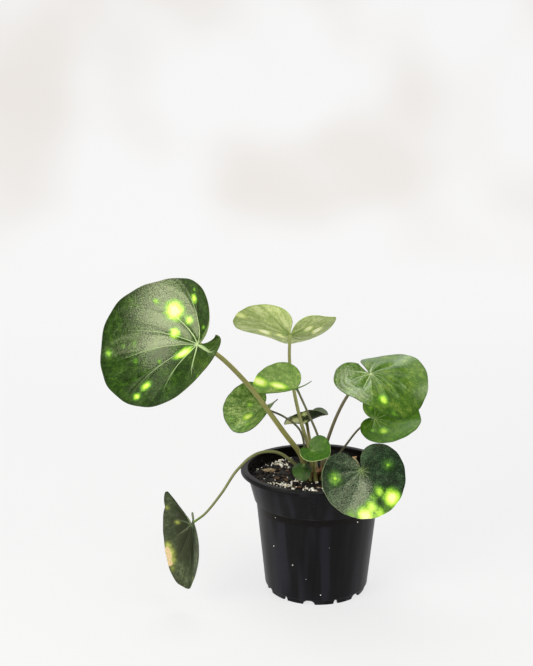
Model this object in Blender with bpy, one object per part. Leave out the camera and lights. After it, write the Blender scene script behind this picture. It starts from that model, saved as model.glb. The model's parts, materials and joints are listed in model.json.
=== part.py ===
"""Potted leopard plant (round-leaved Farfugium) in a thin plastic nursery pot.

Blender 4.5 script, metres, +Z up.  The origin is on the floor under the pot's axis and
-Y faces the viewer.  The design values below are in millimetres and degrees.
"""
import math
import random

import bmesh
import bpy
import numpy as np
from mathutils import Vector

MM = 0.001
GAP = 0.3                    # air left between touching pieces

# Pot: one moulding with a wide lip, a flared collar and a straight tapered body
POT_TOP = 131.5
LIP_RADIUS = 80.0
LIP_INNER_RADIUS = 72.7
LIP_DEPTH = 4.2
COLLAR_TOP_RADIUS = 73.6
COLLAR_LOW_RADIUS = 65.6
COLLAR_LOW = 97.0
BODY_TOP_RADIUS = 63.8
BODY_LOW_RADIUS = 54.3
BODY_LOW = 5.4
WALL = 1.2
FOOT_OUTER_RADIUS = 52.4
FOOT_INNER_RADIUS = 49.4
PLATE_LOW = 2.0
PLATE_HIGH = 3.6
PLATE_CORNER = 1.8           # fillet between the base plate and the wall
LIP_ROUND = 0.7
LIP_SKIN = 1.4               # thickness of the flat lip
STEP_LOW = COLLAR_LOW - 0.5  # the inside of the step between collar and body
STEP_HIGH = COLLAR_LOW + 1.6
FOOT_BEVEL = 0.9
POT_STEPS = 48
FOOT_GAPS = 6                # pairs of gaps in the foot ring, one wide and one narrow
WIDE_GAP_ANGLE = -100.5
NARROW_GAP_ANGLE = -69.5
WIDE_GAP_HALF = 6.0
NARROW_GAP_HALF = 2.4
FOOT_GAP_HEIGHT = 4.6
FOOT_GAP_SIDES = 10
DRAIN_RADIUS = 4.5
DRAIN_RING = 36.0
DRAIN_SIDES = 12

# Soil: filled to some 12 mm below the lip
SOIL_TOP = 119.3
SOIL_EDGE = 1.5
SOIL_STEPS = 48
SOIL_RINGS = 13
SOIL_LUMPS = 150
LUMP_RADIUS = 3.4
LUMP_HEIGHT = 1.7
SOIL_CALM = 16.0             # the mounds fade within this distance of the crown
SOIL_FLAT = 2.0              # flat strip along the wall
SOIL_FADE = 8.0
STALK_DEPTH = 10.0
HOLE_ROOM = 0.5              # radius added to a stalk for its hole in the soil
HOLE_SIDES = 14

# Loose pieces on the soil, with the reach of the flatter soil round each
BARK_PLACE = (-50.0, 18.0)
BARK_HALF = (6.5, 3.4, 1.3)
BARK_LIFT = 1.7
BARK_TURN = (0, 0, 25)
FLAKE_PLACE = (42.5, 52.0)
FLAKE_HALF = (3.6, 2.8, 0.5)
FLAKE_LIFT = 3.3
FLAKE_TURN = (0, -45, 51)
CHIP_BEVEL = 0.25
QUIET_SPOTS = [(*BARK_PLACE, 15.0), (*FLAKE_PLACE, 10.0)]

# Crown: the bases of old leaf stalks, with the eleven stalks standing round it
CROWN_CENTRE = (-2.0, -2.0)
CROWN_RADIUS = 5.6
CROWN_TOP = 128.5
CROWN_TIPS = 6
CROWN_SWELL = 1.1            # rise of the blunt tips
STALK_RING = 10.8

BLADE_THICKNESS = 0.75
STALK_SIDES = 8
STALK_RING_SPACING = 8.0

RIPPLES = 9                  # small scallops round a blade's margin
RIPPLE = 0.004
WAVES = 3                    # broad waves round a blade's margin
WAVE_RISE = 2.2              # power with which the waves grow towards the margin
LOBE_START = 112.0           # angle from the midrib where a base lobe begins
SPOKE_END = 0.985            # share of the open angle that the spokes fill
RING_SPREAD = 0.9            # power that draws the rings towards the margin


def leaf(name, joint, heading, pitch, roll, length, halves, fullness, notch, fold, curl, bow,
         wave, stand, stalk, route, fine=(32, 5), crease=0.16, lobe=(0, 0, 0, 1)):
    """One leaf: where its stalk meets the blade, how the blade is turned, its shape and its stalk.

    heading and pitch aim the midrib.  halves are the widths left and right of it, and fullness rounds
    the margin of each half, a low value giving a long base lobe.  notch is half the angle left open at
    the stalk.  fold lifts the two halves within the crease, curl bends them further out, and bow bends
    the tip and the base.  wave is the size and phase of the margin's waves.  stand is the angle of the
    stalk's foot round the crown, stalk its low and top radius, and route the points it passes.  fine is
    the number of spokes and rings, and lobe lifts, draws back and spreads one base lobe, the left one
    where its last value is 1 and the right one where it is -1.
    """
    return dict(name=name, joint=joint, heading=heading, pitch=pitch, roll=roll, length=length,
                halves=halves, fullness=fullness, notch=notch, fold=fold, curl=curl, bow=bow,
                wave=wave, stand=stand, stalk=stalk, route=route, fine=fine, crease=crease, lobe=lobe)


LEAVES = [
    leaf("upper_left", (-120, -60, 277), 162, -21, 47, 101, (83, 97), (0.60, 0.60), 23, (17, 28),
         (-0.25, 0.5), (0.3, 0.66), (0.1, 0.93), 178, (2.8, 2.2),
         [(-16, -5, 143), (-35, -19, 175), (-72, -44, 233), (-101, -57, 266)], (42, 6),
         lobe=(0.50, 0.62, 0.28, 1)),
    leaf("top", (-28, 32, 267), 100, -36, -16, 53, (67, 62), (0.25, 0.31), 1, (13, 25), (-0.36, 0.65),
         (0.45, 1.74), (0.04, 0), 108, (2.1, 1.6),
         [(-9, 9, 150), (-18, 18, 180), (-28.5, 29, 235)], (38, 6), 0.14),
    leaf("middle", (-23, -6, 219), -157, -10, -2, 46, (34, 44), (0.48, 0.48), 30, (20, 45), (0, 0.1),
         (0.2, 0.45), (0.04, 0), 15, (1.3, 1.1),
         [(7, 0, 140), (0, -2, 167), (-10, -4, 191), (-17, -5, 207)]),
    leaf("left", (-58, 14, 192), -154, -35, 9, 40, (41, 46), (0.47, 0.47), 12, (22, 29), (0.26, 0.5),
         (0.05, 0.3), (-0.08, -2.4), 140, (1.2, 1.0),
         [(-12, 6, 142), (-18, 8, 169), (-35, 11, 183)]),
    leaf("back_small", (-10, 60, 163), -95, -4, -14, 36, (30, 26), (0.31, 0.31), 11, (23, 16),
         (-0.5, -0.43), (1.0, 0.2), (0.06, -1.1), 78, (2.0, 1.6),
         [(-3, 22, 137), (-7, 42, 151)], (28, 4)),
    leaf("upper_right", (55, 5, 231), -48, -17, -12, 64, (63, 47), (0.36, 0.36), 11, (-7, -2),
         (0.23, -0.2), (-0.55, -0.2), (0.09, 2.6), 48, (1.9, 1.5),
         [(7, 7, 142), (20, 5, 185), (34, 4, 212), (47, 4, 226)], (42, 6)),
    leaf("right", (62, 22, 177), -3, -9, -34, 48, (49, 42), (0.58, 0.58), 20, (24, 6), (0.05, 0.15),
         (0.45, 0.3), (0.07, 2.25), -18, (1.3, 1.0),
         [(13, -3, 133), (27, 3, 150), (46, 17, 169)], (36, 5)),
    leaf("front_right", (39, -88, 158), -57, -59, -15, 47, (47, 52), (0.37, 0.37), 13, (13, 10),
         (0.1, 0.04), (-0.04, -0.1), (0.04, 0.4), -52, (1.9, 1.5),
         [(9, -20, 137), (22, -48, 154), (34, -76, 164)], (36, 5)),
    leaf("small_heart", (-6, -22, 157), -34, -24, -18, 21, (22, 23), (0.47, 0.47), 13, (44, 12),
         (-0.3, 0.06), (0.52, 0.24), (-0.04, 3.8), -88, (1.6, 1.2),
         [(-4, -15, 135), (-6, -19, 149)], (26, 4)),
    leaf("small_round", (-15, -30, 143), -94, -15, 1, 19, (11, 15), (0.58, 0.58), 17, (-26, -13),
         (-0.2, -0.27), (-0.58, 0), (0.05, 3.3), -118, (1.3, 0.8),
         [(-9, -17, 130)], (26, 4)),
    leaf("low_left", (-129, -50, 87), -89, -89, -34, 66.5, (35, 36), (0.76, 0.34), 14, (58, 26),
         (-0.89, -0.42), (0.11, 0.31), (0.06, 0.15), -148, (1.9, 1.1),
         [(-15, -8, 128), (-25, -9, 139), (-42, -11, 151), (-63, -16, 151), (-83, -23, 136),
          (-99, -32, 114), (-116, -44, 96)], lobe=(-0.10, 0.34, 0.70, -1)),
]

FINISH = {
    "pot": ("#2A2A2C", 0.42),
    "soil": ("#1B1412", 0.95),
    "crown": ("#5A3A2A", 0.75),
    "blade": ("#3F6B2E", 0.40),
    "dark_blade": ("#2E4A32", 0.42),
    "stalk": ("#7D7B4E", 0.50),
    "bark": ("#A8794E", 0.85),
    "dry": ("#B56A34", 0.80),
}


def clear_scene():
    for item in list(bpy.data.objects):
        bpy.data.objects.remove(item, do_unlink=True)


def linear(hex_colour):
    """sRGB hex to the linear values that a shader takes."""
    out = []
    for start in (1, 3, 5):
        value = int(hex_colour[start:start + 2], 16) / 255
        out.append(value / 12.92 if value <= 0.04045 else ((value + 0.055) / 1.055) ** 2.4)
    return (*out, 1.0)


def material(name, finish):
    colour, roughness = FINISH[finish]
    made = bpy.data.materials.new(name)
    made.use_nodes = True
    shader = made.node_tree.nodes["Principled BSDF"]
    shader.inputs["Base Color"].default_value = linear(colour)
    shader.inputs["Roughness"].default_value = roughness
    shader.inputs["Metallic"].default_value = 0.0
    return made


def add_object(name, mesh, finish, smooth=True):
    """Link a mesh as one sub-part with its own material."""
    mesh.validate()
    if smooth:
        mesh.shade_smooth()
        mesh.set_sharp_from_angle(angle=math.radians(35))
    part = bpy.data.objects.new(name, mesh)
    bpy.context.collection.objects.link(part)
    mesh.materials.append(material(name + "_finish", finish))
    return part


def mesh_from(name, points, faces):
    """A mesh from points in millimetres, its faces turned outwards."""
    shape = bmesh.new()
    corners = [shape.verts.new(Vector(point) * MM) for point in points]
    for face in faces:
        shape.faces.new([corners[i] for i in face])
    bmesh.ops.recalc_face_normals(shape, faces=shape.faces)
    mesh = bpy.data.meshes.new(name)
    shape.to_mesh(mesh)
    shape.free()
    return mesh


def spun(name, profile, steps):
    """A closed profile of (radius, height) turned once round Z."""
    shape = bmesh.new()
    corners = [shape.verts.new((r * MM, 0, z * MM)) for r, z in profile]
    edges = []
    for i, corner in enumerate(corners):
        edges.append(shape.edges.new((corner, corners[(i + 1) % len(corners)])))
    bmesh.ops.spin(shape, geom=corners + edges, cent=(0, 0, 0), axis=(0, 0, 1),
                   angle=2 * math.pi, steps=steps, use_merge=True)
    bmesh.ops.remove_doubles(shape, verts=shape.verts, dist=0.00001)
    bmesh.ops.recalc_face_normals(shape, faces=shape.faces)
    mesh = bpy.data.meshes.new(name)
    shape.to_mesh(mesh)
    shape.free()
    return mesh


def pot_inner_radius(z):
    """Radius of the pot's inside at a height below the lip."""
    if z >= COLLAR_LOW:
        share = (z - COLLAR_LOW) / (POT_TOP - LIP_DEPTH - COLLAR_LOW)
        return COLLAR_LOW_RADIUS - WALL + share * (COLLAR_TOP_RADIUS - COLLAR_LOW_RADIUS)
    share = (z - BODY_LOW) / (COLLAR_LOW - BODY_LOW)
    return BODY_LOW_RADIUS - WALL + share * (BODY_TOP_RADIUS - BODY_LOW_RADIUS)


def cut(target, cutter):
    """Boolean difference with a cutter that stays hidden as a guide."""
    cutter.hide_render = True
    cutter.display_type = "WIRE"
    step = target.modifiers.new("cut_" + cutter.name, "BOOLEAN")
    step.operation = "DIFFERENCE"
    step.solver = "EXACT"
    step.object = cutter


def cylinders(name, places, sides):
    """One cutter mesh of separate cylinders: each is centre, direction, half length and two radii."""
    shape = bmesh.new()
    for centre, direction, half_length, half_wide, half_high in places:
        made = bmesh.ops.create_cone(shape, cap_ends=True, segments=sides, radius1=MM, radius2=MM,
                                     depth=2 * half_length * MM)
        turn = Vector(direction).to_track_quat("Z", "Y").to_matrix()
        for vert in made["verts"]:
            local = Vector((vert.co.x * half_wide, vert.co.y * half_high, vert.co.z))
            vert.co = turn @ local + Vector(centre) * MM
    mesh = bpy.data.meshes.new(name)
    shape.to_mesh(mesh)
    shape.free()
    cutter = bpy.data.objects.new(name, mesh)
    bpy.context.collection.objects.link(cutter)
    return cutter


def build_pot():
    lip_low = POT_TOP - LIP_DEPTH
    profile = [
        (0, PLATE_HIGH),
        (BODY_LOW_RADIUS - WALL - PLATE_CORNER, PLATE_HIGH),
        (BODY_LOW_RADIUS - WALL, PLATE_HIGH + PLATE_CORNER),
        (pot_inner_radius(STEP_LOW), STEP_LOW),
        (pot_inner_radius(STEP_HIGH), STEP_HIGH),
        (COLLAR_TOP_RADIUS - WALL, lip_low),
        (LIP_INNER_RADIUS, POT_TOP - LIP_ROUND),
        (LIP_INNER_RADIUS + LIP_ROUND, POT_TOP),
        (LIP_RADIUS - LIP_ROUND, POT_TOP),
        (LIP_RADIUS, POT_TOP - LIP_ROUND),
        (LIP_RADIUS, lip_low),
        (LIP_RADIUS - WALL, lip_low),
        (LIP_RADIUS - WALL, POT_TOP - LIP_SKIN),
        (COLLAR_TOP_RADIUS + LIP_ROUND, POT_TOP - LIP_SKIN),
        (COLLAR_TOP_RADIUS, lip_low),
        (COLLAR_LOW_RADIUS, COLLAR_LOW + LIP_ROUND),
        (COLLAR_LOW_RADIUS - GAP, COLLAR_LOW),
        (BODY_TOP_RADIUS, COLLAR_LOW),
        (BODY_LOW_RADIUS, BODY_LOW),
        (FOOT_OUTER_RADIUS, BODY_LOW - FOOT_BEVEL),
        (FOOT_OUTER_RADIUS - FOOT_BEVEL / 2, 0),
        (FOOT_INNER_RADIUS, 0),
        (FOOT_INNER_RADIUS - FOOT_BEVEL / 2, PLATE_LOW),
        (0, PLATE_LOW),
    ]
    pot = add_object("pot", spun("pot", profile, POT_STEPS), "pot")
    gaps = []
    drains = []
    middle = (FOOT_OUTER_RADIUS + FOOT_INNER_RADIUS) / 2
    reach_out = FOOT_OUTER_RADIUS - FOOT_INNER_RADIUS + GAP
    for k in range(FOOT_GAPS):
        for start, half in ((WIDE_GAP_ANGLE, WIDE_GAP_HALF), (NARROW_GAP_ANGLE, NARROW_GAP_HALF)):
            angle = math.radians(start + k * 360 / FOOT_GAPS)
            out = (math.cos(angle), math.sin(angle), 0)
            centre = (middle * out[0], middle * out[1], 0)
            gaps.append((centre, out, reach_out, half, FOOT_GAP_HEIGHT))
        angle = math.radians(WIDE_GAP_ANGLE + k * 360 / FOOT_GAPS)
        centre = (DRAIN_RING * math.cos(angle), DRAIN_RING * math.sin(angle), PLATE_LOW)
        drains.append((centre, (0, 0, 1), PLATE_HIGH, DRAIN_RADIUS, DRAIN_RADIUS))
    cut(pot, cylinders("foot_gap_cutter", gaps, FOOT_GAP_SIDES))
    cut(pot, cylinders("drain_cutter", drains, DRAIN_SIDES))


def soil_height(x, y, lumps):
    """Height of the soil: slow mounds, small lumps and a flat strip along the wall."""
    radius = math.hypot(x, y)
    fade = max(0.0, min(1.0, (pot_inner_radius(SOIL_TOP) - SOIL_FLAT - radius) / SOIL_FADE))
    mound = 0.9 * math.sin(x / 13 + 0.6) * math.cos(y / 11 - 0.4) + 0.5 * math.sin(x / 6 + y / 7)
    lump = 0.0
    for lx, ly, size in lumps:
        near = ((x - lx) ** 2 + (y - ly) ** 2) / LUMP_RADIUS ** 2
        if near < 4:
            lump = max(lump, size * math.exp(-near))
    cx, cy = CROWN_CENTRE
    calm = 1 - math.exp(-((x - cx) ** 2 + (y - cy) ** 2) / SOIL_CALM ** 2)
    for px, py, reach in QUIET_SPOTS:
        calm *= 1 - math.exp(-((x - px) ** 2 + (y - py) ** 2) / reach ** 2)
    return SOIL_TOP + fade * calm * (mound + lump - 0.2)


def soil_lumps():
    draw = random.Random(7)
    lumps = []
    reach = pot_inner_radius(SOIL_TOP) - 5
    for _ in range(SOIL_LUMPS):
        radius = reach * math.sqrt(draw.random())
        angle = draw.uniform(0, 2 * math.pi)
        height = draw.uniform(0.5, 1) * LUMP_HEIGHT
        lumps.append((radius * math.cos(angle), radius * math.sin(angle), height))
    return lumps


def build_soil():
    lumps = soil_lumps()
    edge = pot_inner_radius(SOIL_TOP - SOIL_EDGE) - 1.5 * GAP
    points = [(0, 0, soil_height(0, 0, lumps))]
    rows = [(edge * ring / SOIL_RINGS, None) for ring in range(1, SOIL_RINGS + 1)]
    side = [(edge, SOIL_TOP - SOIL_EDGE),
            (pot_inner_radius(STEP_HIGH) - 2 * GAP, STEP_HIGH),
            (pot_inner_radius(STEP_LOW) - GAP, STEP_LOW),
            (BODY_LOW_RADIUS - WALL - GAP, PLATE_HIGH + PLATE_CORNER + 2 * GAP),
            (BODY_LOW_RADIUS - WALL - PLATE_CORNER - 2 * GAP, PLATE_HIGH + GAP)]
    for radius, z in rows + side:
        for k in range(SOIL_STEPS):
            angle = 2 * math.pi * k / SOIL_STEPS
            x, y = radius * math.cos(angle), radius * math.sin(angle)
            points.append((x, y, soil_height(x, y, lumps) if z is None else z))
    points.append((0, 0, PLATE_HIGH + GAP))
    bands = len(rows) + len(side) - 1
    faces = []
    for k in range(SOIL_STEPS):
        follow = (k + 1) % SOIL_STEPS
        faces.append((0, 1 + k, 1 + follow))
        for row in range(bands):
            low, high = 1 + row * SOIL_STEPS, 1 + (row + 1) * SOIL_STEPS
            faces.append((low + k, high + k, high + follow))
            faces.append((low + k, high + follow, low + follow))
        last = 1 + bands * SOIL_STEPS
        faces.append((last + k, len(points) - 1, last + follow))
    soil = add_object("soil", mesh_from("soil", points, faces), "soil")
    holes = []
    for one in LEAVES:
        x, y = stalk_foot(one)
        radius = one["stalk"][0] + HOLE_ROOM
        holes.append(((x, y, SOIL_TOP), (0, 0, 1), STALK_DEPTH + GAP, radius, radius))
    holes.append(((*CROWN_CENTRE, SOIL_TOP), (0, 0, 1), STALK_DEPTH + GAP,
                  CROWN_RADIUS + HOLE_ROOM, CROWN_RADIUS + HOLE_ROOM))
    cut(soil, cylinders("stalk_hole_cutter", holes, HOLE_SIDES))


def build_crown():
    """Stub of old sheaths: a round plug whose top rises in blunt tips and dips in the middle."""
    steps = CROWN_TIPS * 4
    cx, cy = CROWN_CENTRE
    levels = ((SOIL_TOP - STALK_DEPTH, 1.0, 0), (SOIL_TOP + 1.0, 1.0, 0), (SOIL_TOP + 5, 0.92, 1),
              (CROWN_TOP, 0.80, 2), (CROWN_TOP - 1.5, 0.5, 1))
    points = []
    for z, share, tip in levels:
        for k in range(steps):
            angle = 2 * math.pi * k / steps
            swell = math.cos(CROWN_TIPS * angle)
            radius = CROWN_RADIUS * share * (1 - 0.05 * tip * (1 - swell))
            points.append((cx + radius * math.cos(angle), cy + radius * math.sin(angle),
                           z + tip * CROWN_SWELL * swell))
    points.append((cx, cy, SOIL_TOP - STALK_DEPTH))
    points.append((cx, cy, CROWN_TOP - 3.0))
    faces = []
    last = (len(levels) - 1) * steps
    for k in range(steps):
        follow = (k + 1) % steps
        faces.append((len(points) - 2, follow, k))
        faces.append((len(points) - 1, last + k, last + follow))
        for row in range(len(levels) - 1):
            low, high = row * steps, (row + 1) * steps
            faces.append((low + k, low + follow, high + follow))
            faces.append((low + k, high + follow, high + k))
    add_object("crown", mesh_from("crown", points, faces), "crown")


def unit(vector):
    return vector / np.linalg.norm(vector)


def leaf_axes(one):
    """Unit vectors along the midrib, to the left half and out of the upper face."""
    heading, pitch, roll = (math.radians(one[key]) for key in ("heading", "pitch", "roll"))
    tip = np.array([math.cos(pitch) * math.cos(heading), math.cos(pitch) * math.sin(heading),
                    math.sin(pitch)])
    upright = np.array([0.0, 0.0, 1.0])
    level = unit(upright - tip * (upright @ tip))
    across = np.cross(level, tip)
    face = level * math.cos(roll) + across * math.sin(roll)
    return tip, np.cross(face, tip), face


def reach(one, angle):
    """Outline of the blade as a share of its length or half width, at an angle from the midrib."""
    notch = math.radians(one["notch"])
    share = np.clip(np.abs(angle) / (math.pi - notch), 0, 1)
    ripple = 1 + RIPPLE * np.cos(RIPPLES * 2 * angle) * (1 - share ** 6)
    fullness = np.where(angle > 0, *one["fullness"])
    return np.maximum(np.cos(share * math.pi / 2), 1e-9) ** fullness * ripple


def lifted(distance, fold, curl, knee):
    """Path across one half of the blade: it turns by the fold near the midrib, then curls on."""
    near = np.minimum(distance, knee)
    first = fold / knee
    out = np.sin(first * near) / first
    up = (1 - np.cos(first * near)) / first
    rest = np.maximum(distance - knee, 0)
    curl = curl if abs(curl) > 1e-6 else 1e-6
    out = out + (np.sin(fold + curl * rest) - np.sin(fold)) / curl
    up = up + (np.cos(fold) - np.cos(fold + curl * rest)) / curl
    return out, up


def blade_points(one, share, angle):
    """Middle of the blade's thickness at shares of the way out and angles from the midrib."""
    size = sum(one["halves"]) / 2
    wide = np.where(angle > 0, *one["halves"])
    edge = reach(one, angle)
    start = math.radians(LOBE_START)
    lift, back, spread, half = one["lobe"]
    lobe = np.clip((angle * half - start) / (math.pi - start), 0, 1) * size * share
    along = one["length"] * edge * np.cos(angle) * share - back * lobe
    side = wide * edge * np.sin(angle) * share + half * spread * lobe
    depth, phase = one["wave"]
    ripple = depth * size * share ** WAVE_RISE * np.cos(WAVES * angle + phase) + lift * lobe * share ** 0.5
    knee = one["crease"] * size
    folds = [math.radians(fold) for fold in one["fold"]]
    left_out, left_up = lifted(np.maximum(side, 0), folds[0], one["curl"][0] / size, knee)
    right_out, right_up = lifted(np.maximum(-side, 0), folds[1], one["curl"][1] / size, knee)
    across = left_out - right_out
    height = left_up + right_up + ripple
    bow = np.where(along > 0, one["bow"][0], one["bow"][1]) / size
    bow = np.where(np.abs(bow) < 1e-6, 1e-6, bow)
    turn = bow * along
    forward = np.sin(turn) / bow - height * np.sin(turn)
    rise = (1 - np.cos(turn)) / bow + height * np.cos(turn)
    tip, left, face = leaf_axes(one)
    return (np.array(one["joint"]) + forward[..., None] * tip + across[..., None] * left
            + rise[..., None] * face)


def blade_grid(one):
    """Points of the blade: the joint, then rings of spokes round from one side of the notch."""
    spokes, rings = one["fine"]
    end = (math.pi - math.radians(one["notch"])) * SPOKE_END
    angle = np.linspace(-end, end, spokes)
    share = (np.arange(1, rings + 1) / rings) ** RING_SPREAD
    grid = blade_points(one, share[:, None], angle[None, :])
    return np.vstack([np.array(one["joint"], float)[None], grid.reshape(-1, 3)])


def blade_triangles(spokes, rings):
    faces = []
    for k in range(spokes - 1):
        faces.append((0, 1 + k, 2 + k))
        for row in range(rings - 1):
            low, high = 1 + row * spokes + k, 1 + (row + 1) * spokes + k
            faces.append((low, high, high + 1))
            faces.append((low, high + 1, low + 1))
    return faces


def point_normals(points, faces):
    total = np.zeros_like(points)
    corners = np.array(faces)
    a, b, c = (points[corners[:, k]] for k in range(3))
    cross = np.cross(b - a, c - a)
    for k in range(3):
        np.add.at(total, corners[:, k], cross)
    return total / np.linalg.norm(total, axis=1)[:, None]


def build_blade(one):
    """Closed thin blade: upper and lower faces split alike, joined along the margin and the notch."""
    spokes, rings = one["fine"]
    middle = blade_grid(one)
    faces = blade_triangles(spokes, rings)
    normals = point_normals(middle, faces)
    count = len(middle)
    points = np.vstack([middle + normals * BLADE_THICKNESS / 2, middle - normals * BLADE_THICKNESS / 2])
    solid = list(faces)
    solid += [(c + count, b + count, a + count) for a, b, c in faces]
    margin = [0] + [1 + row * spokes for row in range(rings)]
    margin += [1 + (rings - 1) * spokes + k for k in range(1, spokes)]
    margin += [(row + 1) * spokes for row in range(rings - 2, -1, -1)]
    for k, corner in enumerate(margin):
        follow = margin[(k + 1) % len(margin)]
        solid.append((corner, corner + count, follow + count))
        solid.append((corner, follow + count, follow))
    finish = "dark_blade" if one["name"] in ("front_right", "low_left") else "blade"
    name = "blade_" + one["name"]
    add_object(name, mesh_from(name, points, solid), finish)


def stalk_foot(one):
    angle = math.radians(one["stand"])
    cx, cy = CROWN_CENTRE
    return cx + STALK_RING * math.cos(angle), cy + STALK_RING * math.sin(angle)


def smooth_route(knots, spacing):
    """Points along a centripetal Catmull-Rom curve through the knots."""
    knots = [2 * knots[0] - knots[1]] + list(knots) + [2 * knots[-1] - knots[-2]]
    route = []
    for k in range(1, len(knots) - 2):
        p0, p1, p2, p3 = knots[k - 1:k + 3]
        steps = max(1, round(np.linalg.norm(p2 - p1) / spacing))
        t = [0.0]
        for a, b in ((p0, p1), (p1, p2), (p2, p3)):
            t.append(t[-1] + math.sqrt(np.linalg.norm(b - a)))
        for step in range(steps):
            s = t[1] + (t[2] - t[1]) * step / steps
            a1 = (t[1] - s) / (t[1] - t[0]) * p0 + (s - t[0]) / (t[1] - t[0]) * p1
            a2 = (t[2] - s) / (t[2] - t[1]) * p1 + (s - t[1]) / (t[2] - t[1]) * p2
            a3 = (t[3] - s) / (t[3] - t[2]) * p2 + (s - t[2]) / (t[3] - t[2]) * p3
            b1 = (t[2] - s) / (t[2] - t[0]) * a1 + (s - t[0]) / (t[2] - t[0]) * a2
            b2 = (t[3] - s) / (t[3] - t[1]) * a2 + (s - t[1]) / (t[3] - t[1]) * a3
            route.append((t[2] - s) / (t[2] - t[1]) * b1 + (s - t[1]) / (t[2] - t[1]) * b2)
    route.append(knots[-2])
    return np.array(route)


def stalk_route(one):
    """Centre line from the bottom of the hole in the soil to just under the blade."""
    x, y = stalk_foot(one)
    tip, _, face = leaf_axes(one)
    joint = np.array(one["joint"], float)
    top = one["stalk"][1]
    end = joint - face * (BLADE_THICKNESS / 2 + GAP + 0.2)
    before = end - face * 2.2 * top - tip * 1.2 * top
    ground = [np.array([x, y, SOIL_TOP + above]) for above in (-STALK_DEPTH, -2.5, 2.0)]
    knots = ground + [np.array(point, float) for point in one["route"]] + [before, end]
    return smooth_route(knots, STALK_RING_SPACING)


def build_stalk(one):
    """Tapered tube along the route; its top ring lies in the plane of the blade's underside."""
    route = stalk_route(one)
    _, _, face = leaf_axes(one)
    travelled = np.concatenate([[0], np.cumsum(np.linalg.norm(np.diff(route, axis=0), axis=1))])
    low, top = one["stalk"]
    points = []
    side = np.array([1.0, 0.0, 0.0])
    for k, centre in enumerate(route):
        ahead = route[min(k + 1, len(route) - 1)] - route[max(k - 1, 0)]
        ahead = face if k == len(route) - 1 else unit(ahead)
        side = unit(side - ahead * (side @ ahead))
        other = np.cross(ahead, side)
        radius = low + (top - low) * travelled[k] / travelled[-1]
        for step in range(STALK_SIDES):
            angle = 2 * math.pi * step / STALK_SIDES
            points.append(centre + radius * (math.cos(angle) * side + math.sin(angle) * other))
    faces = [tuple(reversed(range(STALK_SIDES)))]
    for k in range(len(route) - 1):
        low_ring, high_ring = k * STALK_SIDES, (k + 1) * STALK_SIDES
        for step in range(STALK_SIDES):
            follow = (step + 1) % STALK_SIDES
            faces.append((low_ring + step, low_ring + follow, high_ring + follow, high_ring + step))
    last = (len(route) - 1) * STALK_SIDES
    faces.append(tuple(last + step for step in range(STALK_SIDES)))
    name = "stalk_" + one["name"]
    add_object(name, mesh_from(name, points, faces), "stalk")


def build_chip(name, place, half, lift, turn, finish):
    """A broken flake: a bevelled box with two corners pulled in, lying on the soil."""
    shape = bmesh.new()
    bmesh.ops.create_cube(shape, size=2.0)
    for vert in shape.verts:
        vert.co = Vector((vert.co.x * half[0], vert.co.y * half[1], vert.co.z * half[2])) * MM
        if vert.co.x > 0 and vert.co.y > 0:
            vert.co.x *= 0.55
        if vert.co.x < 0 and vert.co.y < 0:
            vert.co.y *= 0.6
    bmesh.ops.bevel(shape, geom=shape.edges[:], offset=CHIP_BEVEL * half[2] * MM, segments=1,
                     affect="EDGES")
    mesh = bpy.data.meshes.new(name)
    shape.to_mesh(mesh)
    shape.free()
    chip = add_object(name, mesh, finish, smooth=False)
    chip.location = Vector((*place, SOIL_TOP + lift)) * MM
    chip.rotation_euler = [math.radians(angle) for angle in turn]


def main():
    clear_scene()
    build_pot()
    build_soil()
    build_crown()
    for one in LEAVES:
        build_stalk(one)
        build_blade(one)
    build_chip("bark_chip", BARK_PLACE, BARK_HALF, BARK_LIFT, BARK_TURN, "bark")
    build_chip("dry_flake", FLAKE_PLACE, FLAKE_HALF, FLAKE_LIFT, FLAKE_TURN, "dry")


main()
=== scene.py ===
# %% [markdown]
# # A potted leopard plant
# A leopard plant carries round, notched leaves, each on its own long stalk, and this one grows in a
# thin black nursery pot.  The CAD model gives every piece its size and place.  This lesson dresses it:
# each blade gets finer folds, veins and yellow spots, each stalk gets ribs, and the pot gets its
# moulded gloss, wet potting mix and white perlite.
#
# The CAD model is loaded first, because it is the frame that every later piece is placed in.

# %% Load the CAD frame
import json
import math
import random
from functools import partial

import bpy
import numpy as np
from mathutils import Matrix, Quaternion, Vector
from mathutils.bvhtree import BVHTree

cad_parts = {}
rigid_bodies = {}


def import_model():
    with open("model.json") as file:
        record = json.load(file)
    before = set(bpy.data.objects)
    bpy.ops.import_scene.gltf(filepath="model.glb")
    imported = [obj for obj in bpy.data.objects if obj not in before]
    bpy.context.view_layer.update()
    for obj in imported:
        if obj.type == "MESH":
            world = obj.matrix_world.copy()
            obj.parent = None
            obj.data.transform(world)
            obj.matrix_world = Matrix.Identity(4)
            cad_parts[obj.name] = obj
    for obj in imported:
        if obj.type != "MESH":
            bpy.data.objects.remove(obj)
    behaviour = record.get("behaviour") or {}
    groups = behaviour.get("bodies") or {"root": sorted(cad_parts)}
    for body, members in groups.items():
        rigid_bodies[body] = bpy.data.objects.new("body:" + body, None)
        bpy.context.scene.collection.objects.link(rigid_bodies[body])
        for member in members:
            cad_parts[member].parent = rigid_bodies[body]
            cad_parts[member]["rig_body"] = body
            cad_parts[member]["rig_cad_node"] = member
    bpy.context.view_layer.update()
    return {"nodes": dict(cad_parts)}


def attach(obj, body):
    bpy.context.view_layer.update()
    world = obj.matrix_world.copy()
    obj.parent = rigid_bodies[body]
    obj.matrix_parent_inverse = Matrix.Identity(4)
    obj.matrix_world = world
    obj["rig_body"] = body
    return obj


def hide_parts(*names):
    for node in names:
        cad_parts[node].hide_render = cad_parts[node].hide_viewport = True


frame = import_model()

MM = 0.001

# %% [markdown]
# ## The camera
# The photograph's lens was worked out from the pot: the lip and the base are circles, so the shapes of
# their two ellipses give the height, the distance and the focal length.  The camera stands a little
# over a metre away and looks down by some 12 degrees.

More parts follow.
